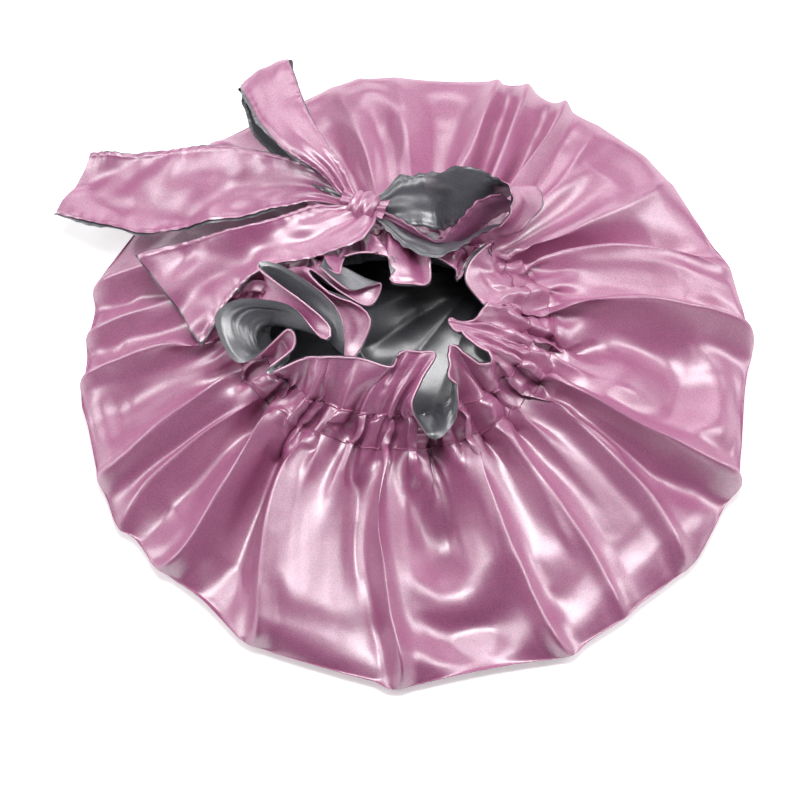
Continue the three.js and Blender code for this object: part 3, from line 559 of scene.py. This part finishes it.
def grid_mesh(name, grid, closed=True, inwards=False):
    """A mesh over rows of points. A closed grid runs all the way round."""
    rows, columns = grid.shape[:2]
    wide = columns if closed else columns - 1
    i, j = np.meshgrid(np.arange(wide), np.arange(rows - 1))
    i, j = i.ravel(), j.ravel()
    k = (i + 1) % columns
    low, high = j * columns, (j + 1) * columns
    faces = np.stack([low + i, low + k, high + k, high + i], axis=1)
    across = np.stack([i, i + 1, i + 1, i], axis=1) / columns
    along = np.stack([j, j, j + 1, j + 1], axis=1) / (rows - 1)
    if inwards:
        faces, across, along = faces[:, ::-1], across[:, ::-1], along[:, ::-1]
    mesh = bpy.data.meshes.new(name)
    mesh.from_pydata((grid.reshape(-1, 3) / 1000).tolist(), [], faces.tolist())
    uv = mesh.uv_layers.new(name="UVMap")
    uv.data.foreach_set("uv", np.stack([across, along], axis=-1).ravel())
    mesh.shade_smooth()
    piece = bpy.data.objects.new(name, mesh)
    bpy.context.scene.collection.objects.link(piece)
    return piece


def surface_group(name, second_colour):
    """A shader node group for a cloth or thread of two colours, and its nodes for input and output."""
    group = bpy.data.node_groups.new(name, "ShaderNodeTree")
    for socket, kind in (("Colour", "Color"), (second_colour, "Color"), ("Roughness", "Float")):
        group.interface.new_socket(socket, in_out="INPUT", socket_type="NodeSocket" + kind)
    for socket, kind in (("Colour", "Color"), ("Roughness", "Float"), ("Normal", "Vector")):
        group.interface.new_socket(socket, in_out="OUTPUT", socket_type="NodeSocket" + kind)
    return group, group.nodes.new("NodeGroupInput"), group.nodes.new("NodeGroupOutput")


def add_mix(tree, blend_type):
    node = tree.nodes.new("ShaderNodeMix")
    node.data_type = "RGBA"
    node.blend_type = blend_type
    node.inputs["Factor"].default_value = 1
    return node


def add_product(tree, first, second):
    node = add_node(tree, "Math")
    node.operation = "MULTIPLY"
    tree.links.new(first, node.inputs[0])
    tree.links.new(second, node.inputs[1])
    return node.outputs["Value"]


# Satin's weave: patches of two tones, fine threads that differ in tone and gloss, and small creases.
satin_weave, given, made = surface_group("satin_weave", "Deep Colour")
links = satin_weave.links
place = add_node(satin_weave, "TexCoord")
patch = add_node(satin_weave, "TexNoise", Scale=35, Detail=3)
weave = add_node(satin_weave, "TexNoise", Scale=1500, Detail=1)
crease = add_node(satin_weave, "TexNoise", Scale=60, Detail=2)
for noise in (patch, weave, crease):
    links.new(place.outputs["Object"], noise.inputs["Vector"])
tone = add_mix(satin_weave, "MIX")
links.new(patch.outputs["Fac"], tone.inputs["Factor"])
links.new(given.outputs["Colour"], tone.inputs["A"])
links.new(given.outputs["Deep Colour"], tone.inputs["B"])
grain = add_node(satin_weave, "MapRange", From_Min=0.2, From_Max=0.8, To_Min=0.5, To_Max=1.5)
links.new(weave.outputs["Fac"], grain.inputs["Value"])
threads = add_mix(satin_weave, "MULTIPLY")
links.new(tone.outputs["Result"], threads.inputs["A"])
links.new(grain.outputs["Result"], threads.inputs["B"])
links.new(threads.outputs["Result"], made.inputs["Colour"])
gleam = add_node(satin_weave, "MapRange", To_Min=1.2, To_Max=0.8)
links.new(weave.outputs["Fac"], gleam.inputs["Value"])
dull = add_product(satin_weave, given.outputs["Roughness"], gleam.outputs["Result"])
links.new(dull, made.inputs["Roughness"])
fine = add_node(satin_weave, "Bump", Strength=0.25, Distance=0.0002)
links.new(weave.outputs["Fac"], fine.inputs["Height"])
soft = add_node(satin_weave, "Bump", Strength=0.15, Distance=0.002)
links.new(crease.outputs["Fac"], soft.inputs["Height"])
links.new(fine.outputs["Normal"], soft.inputs["Normal"])
links.new(soft.outputs["Normal"], made.inputs["Normal"])


def grouped_paint(name, group, colour, second_colour, roughness, gloss):
    """A material whose surface comes from a node group, with its own values there. gloss is its IOR."""
    paint = bpy.data.materials.new(name)
    paint.use_nodes = True
    shader = paint.node_tree.nodes["Principled BSDF"]
    shader.inputs["IOR"].default_value = gloss
    surface = add_node(paint.node_tree, "Group")
    surface.node_tree = group
    for socket, value in zip(surface.inputs, ((*colour, 1), (*second_colour, 1), roughness)):
        socket.default_value = value
    for socket, target in (("Colour", "Base Color"), ("Roughness", "Roughness"), ("Normal", "Normal")):
        paint.node_tree.links.new(surface.outputs[socket], shader.inputs[target])
    return paint


def satin(name, colour, deep_colour, roughness, gloss):
    """Satin: a broad white gloss over a dark, saturated ground."""
    paint = grouped_paint(name, satin_weave, colour, deep_colour, roughness, gloss)
    paint.node_tree.nodes["Principled BSDF"].inputs["Anisotropic"].default_value = 0.4
    return paint


def dress(piece, paint, slot, *nodes):
    """Give a piece its material, and hide the solids it stands for. It moves with the bonnet. slot is not
    used.
    """
    piece.data.materials.append(paint)
    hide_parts(*nodes)
    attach(piece, "bonnet")


rose_satin = satin("rose_satin", (0.43, 0.115, 0.267), (0.36, 0.088, 0.217), roughness=0.42, gloss=2.8)
crown = folded(crown_rows())
rim_row = BASE_ROWS + UNDER_ROWS
CROWN_LEASH = 30.0
SLACK = 1.01  # the cloth's length over the folds' length
leash = np.where(np.arange(len(crown)) < rim_row, 0.0, CROWN_LEASH)
leash[-1] = 0
rest_round = np.linalg.norm(np.roll(crown, -1, axis=1) - crown, axis=-1) * SLACK
rest_out = np.linalg.norm(np.diff(crown, axis=0), axis=-1) * SLACK
crown = settle(crown, rest_round, rest_out, leash[:, None], times=60, gravity=0.004, stiffness=0.05)
# Small creases: most of them run out from the mouth, some across.
CREASE_DEPTH = 1.4
way = np.linalg.norm(crown[-1] - crown, axis=-1)
wind = CROWN_RADIUS * np.radians(RIM_THETA)[None, :]
small = 0.7 * np.abs(crumple(wind / 50, way / 150, 0.4)) + 0.3 * np.abs(crumple(wind / 90, way / 60, 1.9))
small = small * np.clip((np.arange(len(crown)) - rim_row) / 10, 0, 1)[:, None] * np.clip(way / 8, 0, 1)
crown = crown - CREASE_DEPTH * small[..., None] * grid_normals(crown)
crown[..., 2] = np.maximum(crown[..., 2], 0)
for _ in range(3):
    even = towards_even(crown)
    even[-1] = 0
    crown = crown + 0.5 * even
base = [crown[0] * np.array([share, share, 1]) for share in (0.001, 0.25, 0.5, 0.75)]
rows = base + list(crown) + channel_rows()
outer_grid = np.array(rows + ruffle_rows(rows[-1]))
lower_seam = len(base) + len(crown) - 1
upper_seam = lower_seam + CHANNEL_ROWS
# The elastic draws up cloth that is much longer than itself: this is let buckle on a coarse grid. The
# front panel of the ruffle, and the crown under the flap, lie smoother than the rest.
GATHERED_ROWS, COARSE = 44, 4
CHANNEL_FULLNESS = 2.3
CHANNEL_LEASH, SEAM_LEASH = 7.5, 5
first_row = lower_seam - GATHERED_ROWS
ring = outer_grid[first_row:, ::COARSE]
ring_theta = MOUTH_THETA[::COARSE]
crown_part = np.linspace(0, 1, GATHERED_ROWS + 1)
ruffle_part = steps(RUFFLE_ROWS)
crown_fullness = 1 + 0.06 * crown_part + 1.05 * crown_part**8
ruffle_fullness = 1 + (1 - ruffle_part) ** 2.2
fullness = np.concatenate([crown_fullness, np.full(CHANNEL_ROWS, CHANNEL_FULLNESS), ruffle_fullness])
crown_leash = 12 * crown_part**1.5
ruffle_leash = 8 * (1 - ruffle_part) ** 0.7
leash = np.concatenate([crown_leash, np.full(CHANNEL_ROWS, CHANNEL_LEASH), ruffle_leash])
leash[[GATHERED_ROWS, GATHERED_ROWS + CHANNEL_ROWS]] = SEAM_LEASH
leash = np.repeat(leash[:, None], len(ring_theta), axis=1)
front_panel = bump(ring_theta, 240, 44)
under_flap = bump(ring_theta, 285, 8)
leash[-RUFFLE_ROWS:] *= 1 - 0.85 * front_panel
leash[:GATHERED_ROWS] *= 1 - 0.7 * under_flap
rest_round = np.linalg.norm(np.roll(ring, -1, axis=1) - ring, axis=-1) * fullness[:, None]
rest_out = np.linalg.norm(np.diff(ring, axis=0), axis=-1)
moved = settle(ring, rest_round, rest_out, leash, times=90, gravity=0.0, stiffness=0.12) - ring
# The ruffle's points are kept from sliding round, so that its folds don't lap over each other.
round_way = unit(np.roll(ring, -1, axis=1) - np.roll(ring, 1, axis=1))
slid = round_way * np.sum(round_way * moved, axis=-1, keepdims=True)
kept = 0.85 * np.minimum(1, ruffle_part / 0.12)
moved[-RUFFLE_ROWS:] -= kept[:, None, None] * slid[-RUFFLE_ROWS:]
evening = np.append(np.full(len(moved) - RUFFLE_ROWS, 0.05), np.full(RUFFLE_ROWS, 0.22))
uneven = np.roll(moved, 1, axis=1) + np.roll(moved, -1, axis=1) - 2 * moved
moved += evening[:, None, None] * uneven
at = np.arange(COLUMNS) / COARSE
outer_grid[first_row:] += np.array([spline(row, at) for row in moved])
outer = grid_mesh("outer_cloth", outer_grid)
outer_nodes = ("crown_base_outer", "crown_edge_outer", "crown_outer", "channel_outer", "ruffle_outer")
dress(outer, rose_satin, "rose_satin", *outer_nodes)

# Lining: the same cut in grey satin, a little smaller, inside the outer cloth all the way and sewn to it
# at the stitching and the ruffle's edge. It hangs clear of the outer cloth's folds, and lies in loose
# creases on the base, with a heap at the back.
LIP = 0.9  # how far the lining shows past the outer cloth's edge
SEWN_GAP, EDGE_GAP = 0.35, 0.7  # between the plies, at the channel and at the ruffle's edge
FOLD_GAP = 2.5
RING_GAP, RING_PLEAT, RING_PLEATS = 2, 3.5, 64
CHANNEL_DEPTH, CHANNEL_RISE = 15.5, 5  # the lining hangs this deep in the channel, and rises late
LINING_FLOOR = 2
FLOOR_RIPPLE = 5
HEAP_HEIGHT, HEAP_PLACE, HEAP_WIDTH = 30, (2, 82), 42
# The creases that show through the mouth: from, to and height.
FLOOR_CREASES = (
    ((26, 54), (-32, 44), 4),
    ((26, 50), (-30, 22), 5),
    ((24, 46), (-8, 10), 4),
    ((30, 40), (16, 8), 4),
)
CREASES_PLACE, CREASES_WIDTH = (0, 36), 40
grey_satin = satin("grey_satin", (0.105, 0.105, 0.122), (0.076, 0.076, 0.09), roughness=0.38, gloss=2.2)
ply_gap = np.full(len(outer_grid), SEWN_GAP)
ply_gap[-RUFFLE_ROWS:] = np.linspace(SEWN_GAP, EDGE_GAP, RUFFLE_ROWS)
close = (outer_grid - ply_gap[:, None, None] * grid_normals(outer_grid))[len(base) :]
deep = outer_grid[len(base) : lower_seam + 1].copy()
crown_row = np.arange(len(crown))
lowest = deep[..., 2].copy()
for shift in range(-14, 15, 2):
    shifted = np.roll(deep[..., 2], shift, axis=1)
    for step in (-3, 0, 3):
        lowest = np.minimum(lowest, shifted[np.clip(crown_row + step, 0, len(crown) - 1)])
for _ in range(6):
    lowest = 0.5 * lowest + 0.25 * (np.roll(lowest, 2, axis=1) + np.roll(lowest, -2, axis=1))
pleat = RING_PLEAT * (1 - np.cos(RING_PLEATS * np.radians(MOUTH_THETA)))
near_ring = np.clip((crown_row - rim_row - 30) / 20, 0, 1)[:, None]
deep[..., 2] = (deep[..., 2] - FOLD_GAP) * (1 - near_ring) + (lowest - RING_GAP - pleat) * near_ring
deep_channel = [channel_row(t, -CHANNEL_DEPTH) for t in steps(CHANNEL_ROWS)]
inside = np.concatenate([deep, deep_channel, close[len(crown) + CHANNEL_ROWS :]])
reach = np.clip((np.arange(len(close)) - len(crown)) / CHANNEL_ROWS, 0, 1)[:, None, None] ** CHANNEL_RISE
inner = inside * (1 - reach) + close * reach
inner[..., 2] = np.maximum(inner[..., 2], LINING_FLOOR)
# Straight across the hollow of the rim.
low, high = rim_row - 10, rim_row + 14
share = np.linspace(0, 1, high - low + 1)[:, None, None]
inner[low : high + 1] = inner[low] * (1 - share) + inner[high] * share
floor_rows = []
for share in np.linspace(0.001, 0.985, 90):
    x, y = crown[0, :, 0] * share, crown[0, :, 1] * share
    ripple = (1 - np.abs(crumple(x / 95, y / 70, 0.7))) ** 2 + 0.12 * crumple(x / 30, y / 30, 2.1)
    heap = HEAP_HEIGHT * np.exp(-((x - HEAP_PLACE[0]) ** 2 + (y - HEAP_PLACE[1]) ** 2) / HEAP_WIDTH**2)
    near_creases = (x - CREASES_PLACE[0]) ** 2 + (y - CREASES_PLACE[1]) ** 2
    near_creases = np.exp(-near_creases / CREASES_WIDTH**2)
    for (from_x, from_y), (to_x, to_y), crest in FLOOR_CREASES:
        run = np.hypot(to_x - from_x, to_y - from_y)
        off = np.abs((x - from_x) * (to_y - from_y) - (y - from_y) * (to_x - from_x)) / run
        heap = heap + crest * np.exp(-off / 10) * near_creases
    height = LINING_FLOOR + (FLOOR_RIPPLE * np.maximum(0, ripple) + heap) * (1 - share**4)
    floor_rows.append(np.stack([x, y, height], axis=-1))
inner[-1] += LIP * unit(inner[-1] - inner[-3])
lining = grid_mesh("lining", np.concatenate([np.array(floor_rows), inner]), inwards=True)
lining_nodes = ("crown_base_lining", "crown_edge_lining", "crown_lining", "channel_lining", "ruffle_lining")
dress(lining, grey_satin, "grey_satin", *lining_nodes)

# Stitching: two rows of rose thread that hold the elastic in its channel, and the rolled seam round the
# ruffle's edge. A row of stitches is a thin round line that swells at every stitch; the seam is plain.
STITCH = 3.2
STITCH_RADIUS, SEAM_RADIUS = 0.45, 0.6


def line_tube(name, line, radius, stitch, closed=True):
    """A round line along points. stitch is the length of one stitch, or 0 for a plain line."""
    step = np.roll(line, -1, axis=0) - line if closed else np.gradient(line, axis=0)
    way = unit(step + np.roll(step, 1, axis=0) if closed else step)
    side = unit(np.cross(way, [0.0, 0.0, 1.0]))
    up = np.cross(side, way)
    run = np.cumsum(np.linalg.norm(step, axis=1))
    swell = radius * (0.45 + 0.55 * np.abs(np.sin(np.pi * run / stitch)) ** 0.5 if stitch else 1 + 0 * run)
    turns = np.radians(np.arange(8) * 45.0)
    ring = [line + swell[:, None] * (math.cos(t) * side + math.sin(t) * up) for t in turns]
    return grid_mesh(name, np.array(ring + ring[:1]), closed=closed)


# Spun thread: small dark gaps between bright strands.
spun_strands, given, made = surface_group("spun_strands", "Dark Colour")
links = spun_strands.links
place = add_node(spun_strands, "TexCoord")
strands = add_node(spun_strands, "TexNoise", Scale=900, Detail=2)
links.new(place.outputs["Object"], strands.inputs["Vector"])
tone = add_mix(spun_strands, "MIX")
links.new(strands.outputs["Fac"], tone.inputs["Factor"])
links.new(given.outputs["Dark Colour"], tone.inputs["A"])
links.new(given.outputs["Colour"], tone.inputs["B"])
links.new(tone.outputs["Result"], made.inputs["Colour"])
fuzz = add_node(spun_strands, "MapRange", To_Min=0.8, To_Max=1.2)
links.new(strands.outputs["Fac"], fuzz.inputs["Value"])
dull = add_product(spun_strands, given.outputs["Roughness"], fuzz.outputs["Result"])
links.new(dull, made.inputs["Roughness"])
bumps = add_node(spun_strands, "Bump", Strength=0.4, Distance=0.0003)
links.new(strands.outputs["Fac"], bumps.inputs["Height"])
links.new(bumps.outputs["Normal"], made.inputs["Normal"])


def thread(name, colour, dark_colour, roughness=0.55, gloss=1.6):
    return grouped_paint(name, spun_strands, colour, dark_colour, roughness, gloss)


rose_thread = thread("rose_thread", (0.48, 0.17, 0.3), (0.3, 0.09, 0.18))
# The ruffle's seam thread is painted lighter than the rose thread: a painted highlight for the light its
# rolled edge catches.
rose_edge_painted_highlight = thread("rose_edge_painted_highlight", (0.66, 0.33, 0.48), (0.5, 0.2, 0.34), roughness=0.35, gloss=2.4)
out = grid_normals(outer_grid)
for name, row, lift, radius, stitch, paint, node in (
    ("lower_stitches", lower_seam, 0.2, STITCH_RADIUS, STITCH, rose_thread, "lower_channel_stitching"),
    ("upper_stitches", upper_seam, 0.2, STITCH_RADIUS, STITCH, rose_thread, "upper_channel_stitching"),
    ("ruffle_seam", -1, 0.15, SEAM_RADIUS, 0, rose_edge_painted_highlight, "ruffle_edge_seam"),
):
    line = outer_grid[row] + lift * out[row]
    dress(line_tube(name, line, radius, stitch), paint, "thread", node)

# Elastic: a white woven band that gathers the mouth. The two rows of stitching hold it in the channel,
# between the two plies, which hide it.
ELASTIC_GAP = 1.3  # from the lining
ELASTIC_SPAN = (0.02, 0.44)  # where it lies between the lower and the upper stitching
elastic_paint = thread("white_elastic", (0.8, 0.78, 0.74), (0.55, 0.53, 0.5))
elastic_rows = []
for t in np.linspace(*ELASTIC_SPAN, 8):
    elastic_rows.append(channel_row(t, ELASTIC_GAP - CHANNEL_DEPTH * (1 - t**CHANNEL_RISE)))
elastic = grid_mesh("elastic", np.array(elastic_rows))
dress(elastic, elastic_paint, "elastic", "elastic_band")

# Tie: double-faced satin ribbon, rose on one side and grey on the other, gathered where it leaves the
# knot and puckered along its sewn edges. Each ribbon is given by pairs of points on its two edges.
RIBBON_COLUMNS = 61
RIBBON_PLY = 0.4
HEM, HEM_PLACE, HEM_WIDTH = 0.5, 0.93, 0.03  # the raised hem, and its place and width over the half width
GATHER_LENGTH = 26
PUCKER, PUCKER_LENGTH = 0.45, 1.3
RIBBON_WAVES = ((1, 46, 70, 0), (0.3, 26, 34, 2))  # share of the height, lengths along and across, shift
END_SHARE = 0.2  # the last part of a ribbon, where its back creeps out past its end


def ribbon_grid(edges, seed, cup, gather, wave, rows, both_ends=False):
    """A ribbon between its edges: cupped, gathered at the knot, waved, and puckered along its hems."""
    edges = np.array(edges, float)
    count = len(edges)
    at = np.linspace(0, count - 1, rows)
    index = np.minimum(at.astype(int), count - 2)
    p = [edges[np.clip(index + k, 0, count - 1)] for k in (-1, 0, 1, 2)]
    lines = curve_through(p, (at - index)[:, None, None])
    v = np.linspace(-1, 1, RIBBON_COLUMNS)[None, :, None]
    grid = lines[:, :1] * (1 - v) / 2 + lines[:, 1:] * (1 + v) / 2
    middle = lines.mean(axis=1)
    run = np.append(0, np.cumsum(np.linalg.norm(np.diff(middle, axis=0), axis=1)))[:, None]
    width = np.linalg.norm(lines[:, 1] - lines[:, 0], axis=1)[:, None]
    v = v[..., 0]
    near = np.exp(-run / GATHER_LENGTH) + (np.exp(-(run[-1] - run) / GATHER_LENGTH) if both_ends else 0)
    height = cup * (1 - v**2) * (1 - near)
    height = height + gather * near * (1 - v**6) * np.cos(2.6 * np.pi * v + 1.1 * np.sin(run / 17 + seed))
    for size, long, broad, shift in RIBBON_WAVES:
        height = height + size * wave * (1 - near) * crumple(run / long, v * width / broad, seed + shift)
    hem = np.abs(v) ** 5 * np.minimum(1, run / 20)
    pucker = np.sin(run / PUCKER_LENGTH + 2.5 * np.sin(run / 9 + seed) + 2 * np.sign(v))
    height = height + PUCKER * hem * pucker
    return grid + grid_normals(grid, closed=False) * height[..., None]


def ribbon(name, grid, nodes, flip, rolled=(0.03, 0.03, 0)):
    """Both plies of a ribbon, for its two nodes.

    rolled is how far the back shows past the face's two edges and its end, where the seam rolls.
    """
    out = grid_normals(grid, closed=False) * (-1 if flip else 1)
    v = np.linspace(-1, 1, RIBBON_COLUMNS)[None, :, None]
    open_ply = RIBBON_PLY * (1 - v**10) + HEM * np.exp(-(((np.abs(v) - HEM_PLACE) / HEM_WIDTH) ** 2))
    rows = np.arange(len(grid))[:, None, None]
    peek = np.where(v < 0, rolled[0], rolled[1]) * (1 + 0.8 * np.sin(rows / 5.0) * np.sin(rows / 11.0 + 2))
    at_end = np.maximum(0, rows / (len(grid) - 1) - (1 - END_SHARE)) / END_SHARE
    beyond = rolled[2] * at_end * (grid[-1:] - grid[-6:-5])
    across = (grid[:, -1:] - grid[:, :1]) / 2
    face = grid + open_ply * out
    back = grid - open_ply * out + across * v**9 * peek + beyond
    for part, ply, inwards, paint, slot, node in (
        ("_face", face, flip, rose_satin, "rose_satin", nodes[0]),
        ("_back", back, not flip, grey_satin, "grey_satin", nodes[1]),
    ):
        piece = grid_mesh(name + part, ply, closed=False, inwards=inwards)
        piece.data.materials.append(paint)
        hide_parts(node)
        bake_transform(piece)


LEFT_TAIL = (
    ((-34, 84, 71), (-34, 79, 68)),
    ((-44, 91, 71), (-44, 81, 68)),
    ((-57, 101, 70), (-60, 85, 65)),
    ((-77, 114, 66), (-78, 83, 61)),
    ((-114, 126, 57), (-114, 80, 53)),
    ((-144, 128, 47), (-150, 78, 43)),
    ((-167, 132, 38), (-175, 88, 34)),
    ((-185, 136, 31), (-204, 101, 23)),
)
ribbon(
    "left_tail_ribbon",
    ribbon_grid(LEFT_TAIL, seed=1.0, cup=3.5, gather=1.8, wave=2.2, rows=150),
    nodes=("left_tail_face", "left_tail_back"),
    flip=True,
    rolled=(0.015, 0.07, 0.1),
)

FRONT_TAIL = (
    ((-34, 82, 71), (-24, 74, 73)),
    ((-40, 79, 73), (-24, 66, 75)),
    ((-56, 77, 76), (-33, 53, 76)),
    ((-72, 71, 77), (-55, 45, 75)),
    ((-94, 64, 74), (-82, 41, 71)),
    ((-119, 62, 67), (-100, 31, 64)),
    ((-140, 60, 59), (-112, 15, 56)),
    ((-156, 57, 53), (-120, 4, 49)),
)
ribbon(
    "front_tail_ribbon",
    ribbon_grid(FRONT_TAIL, seed=2.2, cup=4.5, gather=1.8, wave=2.4, rows=130),
    nodes=("front_tail_face", "front_tail_back"),
    flip=True,
    rolled=(0.01, 0.04, 0.35),
)

BACK_LOOP = (
    ((-38, 82, 71), (-33, 82, 71)),
    ((-46, 88, 73), (-36, 89, 73)),
    ((-56, 97, 78), (-42, 100, 78)),
    ((-72, 108, 80), (-51, 114, 80)),
    ((-87, 127, 77), (-62, 138, 77)),
    ((-94, 144, 71), (-68, 159, 71)),
    ((-99, 158, 64), (-73, 178, 63)),
    ((-99, 161, 58), (-71, 180, 57)),
    ((-97, 156, 53), (-71, 173, 52)),
    ((-93, 139, 55), (-66, 151, 55)),
    ((-80, 116, 61), (-54, 124, 61)),
    ((-62, 99, 66), (-44, 105, 66)),
    ((-47, 87, 69), (-36, 89, 69)),
    ((-38, 82, 69), (-33, 82, 69)),
)
ribbon(
    "back_loop_ribbon",
    ribbon_grid(BACK_LOOP, seed=3.1, cup=3.0, gather=1.6, wave=1.6, rows=220, both_ends=True),
    nodes=("back_loop_face", "back_loop_lining"),
    flip=False,
    rolled=(0.1, 0.03, 0),
)

RIGHT_LOOP = (
    ((-27, 79, 73), (-27, 78, 66)),
    ((-18, 85, 77), (-17, 71, 69)),
    ((-10, 91, 81), (-7, 66, 72)),
    ((-2, 90, 84), (4, 64, 74)),
    ((4, 90, 87), (10, 63, 72)),
    ((9, 87, 92), (13, 67, 66)),
    ((14, 85, 96), (18, 71, 65)),
    ((24, 86, 98), (28, 71, 67)),
    ((39, 85, 98), (48, 82, 69)),
    ((49, 78, 96), (64, 90, 70)),
    ((53, 69, 93), (69, 82, 67)),
    ((48, 60, 90), (57, 67, 65)),
    ((30, 52, 86), (36, 58, 64)),
    ((15, 46, 82), (21, 60, 63)),
    ((5, 43, 79), (10, 64, 63)),
    ((-7, 49, 76), (-3, 67, 65)),
    ((-15, 60, 74), (-13, 72, 66)),
    ((-27, 76, 73), (-27, 77, 66)),
)
RIGHT_NODES = ("right_loop_face", "right_loop_lining")
ribbon(
    "right_loop_ribbon",
    ribbon_grid(RIGHT_LOOP, seed=4.0, cup=2.5, gather=1.0, wave=2.6, rows=230, both_ends=True),
    nodes=RIGHT_NODES,
    flip=True,
    rolled=(0.09, 0.05, 0),
)
# The tie goes round twice on the right: this ply lies inside the loop, slumped on its front wall.
RIGHT_TUCK = (
    ((-27, 77, 73), (-27, 76, 67)),
    ((-19, 73, 75), (-18, 71, 68)),
    ((-8, 66, 77), (-6, 64, 67)),
    ((2, 58, 78), (6, 58, 66)),
    ((10, 53, 78), (16, 55, 65)),
    ((17, 56, 81), (26, 60, 66)),
    ((24, 63, 87), (36, 68, 68)),
    ((33, 71, 92), (46, 74, 70)),
    ((46, 74, 93), (58, 78, 72)),
)
ribbon(
    "right_tuck_ribbon",
    ribbon_grid(RIGHT_TUCK, seed=5.0, cup=1.0, gather=0.6, wave=0.8, rows=110),
    nodes=RIGHT_NODES,
    flip=False,
)

# Knot: the tie's bunched satin middle, and the band of it that wraps round and holds the loops and tails.
# It is pulled tight by hand, so it lies in small creases round its middle.
KNOT = np.array([-30.0, 78.5, 70.5])
KNOT_FLATNESS = 0.85
KNOT_COLUMNS, KNOT_ROWS = 96, 31
BAND_HALF, BAND_RADIUS, BAND_SWELL, BAND_CREASE = 7.5, 6.6, 2.6, 0.7
CORE_HALF, CORE_RADIUS, CORE_FLARE = 13, 4.6, 2.6
knot_way = np.array([0.94, -0.34, 0.0])
knot_side = np.array([0.34, 0.94, 0.0])
knot_up = np.array([0.0, 0.0, 1.0])
turn = np.radians(np.arange(KNOT_COLUMNS) * 360.0 / KNOT_COLUMNS)[None, :]
across = np.linspace(-1, 1, KNOT_ROWS)[:, None]


def round_knot(radius, along):
    """Points round the knot's axis."""
    return (
        KNOT
        + along[..., None] * knot_way
        + (radius * np.cos(turn))[..., None] * knot_side
        + (KNOT_FLATNESS * radius * np.sin(turn))[..., None] * knot_up
    )


band = BAND_RADIUS + BAND_SWELL * np.sqrt(np.maximum(0, 1 - across**2))
band = band + BAND_CREASE * np.cos(8 * across + 1.2 * np.sin(turn)) * (1 - across**4)
wrap = grid_mesh("knot_wrap_satin", round_knot(band, BAND_HALF * across + 1.2 * np.cos(turn)), inwards=True)
dress(wrap, rose_satin, "rose_satin", "knot_wrap")
stem = CORE_RADIUS + CORE_FLARE * across**2
stem = stem + (0.5 + 0.9 * across**2) * np.cos(7 * turn + 2 * across)
core = grid_mesh("knot_core_satin", round_knot(stem, CORE_HALF * across + 0 * turn), inwards=True)
dress(core, rose_satin, "rose_satin", "knot_core")

# Tie's root: the gathered middle of the satin tie, laid flat over the channel under the knot and sewn
# down by two bar tacks of rose thread, which go to and fro across it.
TAB = (
    ((-38, 73.6, 58), (-18, 76, 57.4)),
    ((-37.4, 71.2, 60.6), (-17.6, 73.6, 60)),
    ((-36.8, 68.6, 63.2), (-17.4, 70.8, 62.6)),
    ((-36.2, 66, 65.6), (-17.2, 68, 65.2)),
)
TACK_STITCHES = 9
TACK_HALF, TACK_RADIUS = 0.55, 0.3
TACK_WAY = np.array([0.0, -0.7, 0.7])
tab_grid = ribbon_grid(TAB, seed=0.6, cup=1.0, gather=0.6, wave=0.3, rows=24)
tab = grid_mesh("tie_root", tab_grid, closed=False)
dress(tab, rose_satin, "rose_satin", "tie_tab")
for name, node, first, last in (
    ("lower_bar_tack", "lower_tie_tack", (-31.8, 74.4, 59.2), (-25.9, 75.2, 59.0)),
    ("upper_bar_tack", "upper_tie_tack", (-29.1, 67.3, 65.6), (-23.1, 68.1, 65.5)),
):
    way = np.linspace(0, 1, 8 * TACK_STITCHES + 1)[:, None]
    sway = TACK_HALF * np.sin(np.pi * TACK_STITCHES * way)
    line = np.array(first) * (1 - way) + np.array(last) * way + sway * TACK_WAY
    dress(line_tube(name, line, TACK_RADIUS, 0, closed=False), rose_thread, "thread", node)
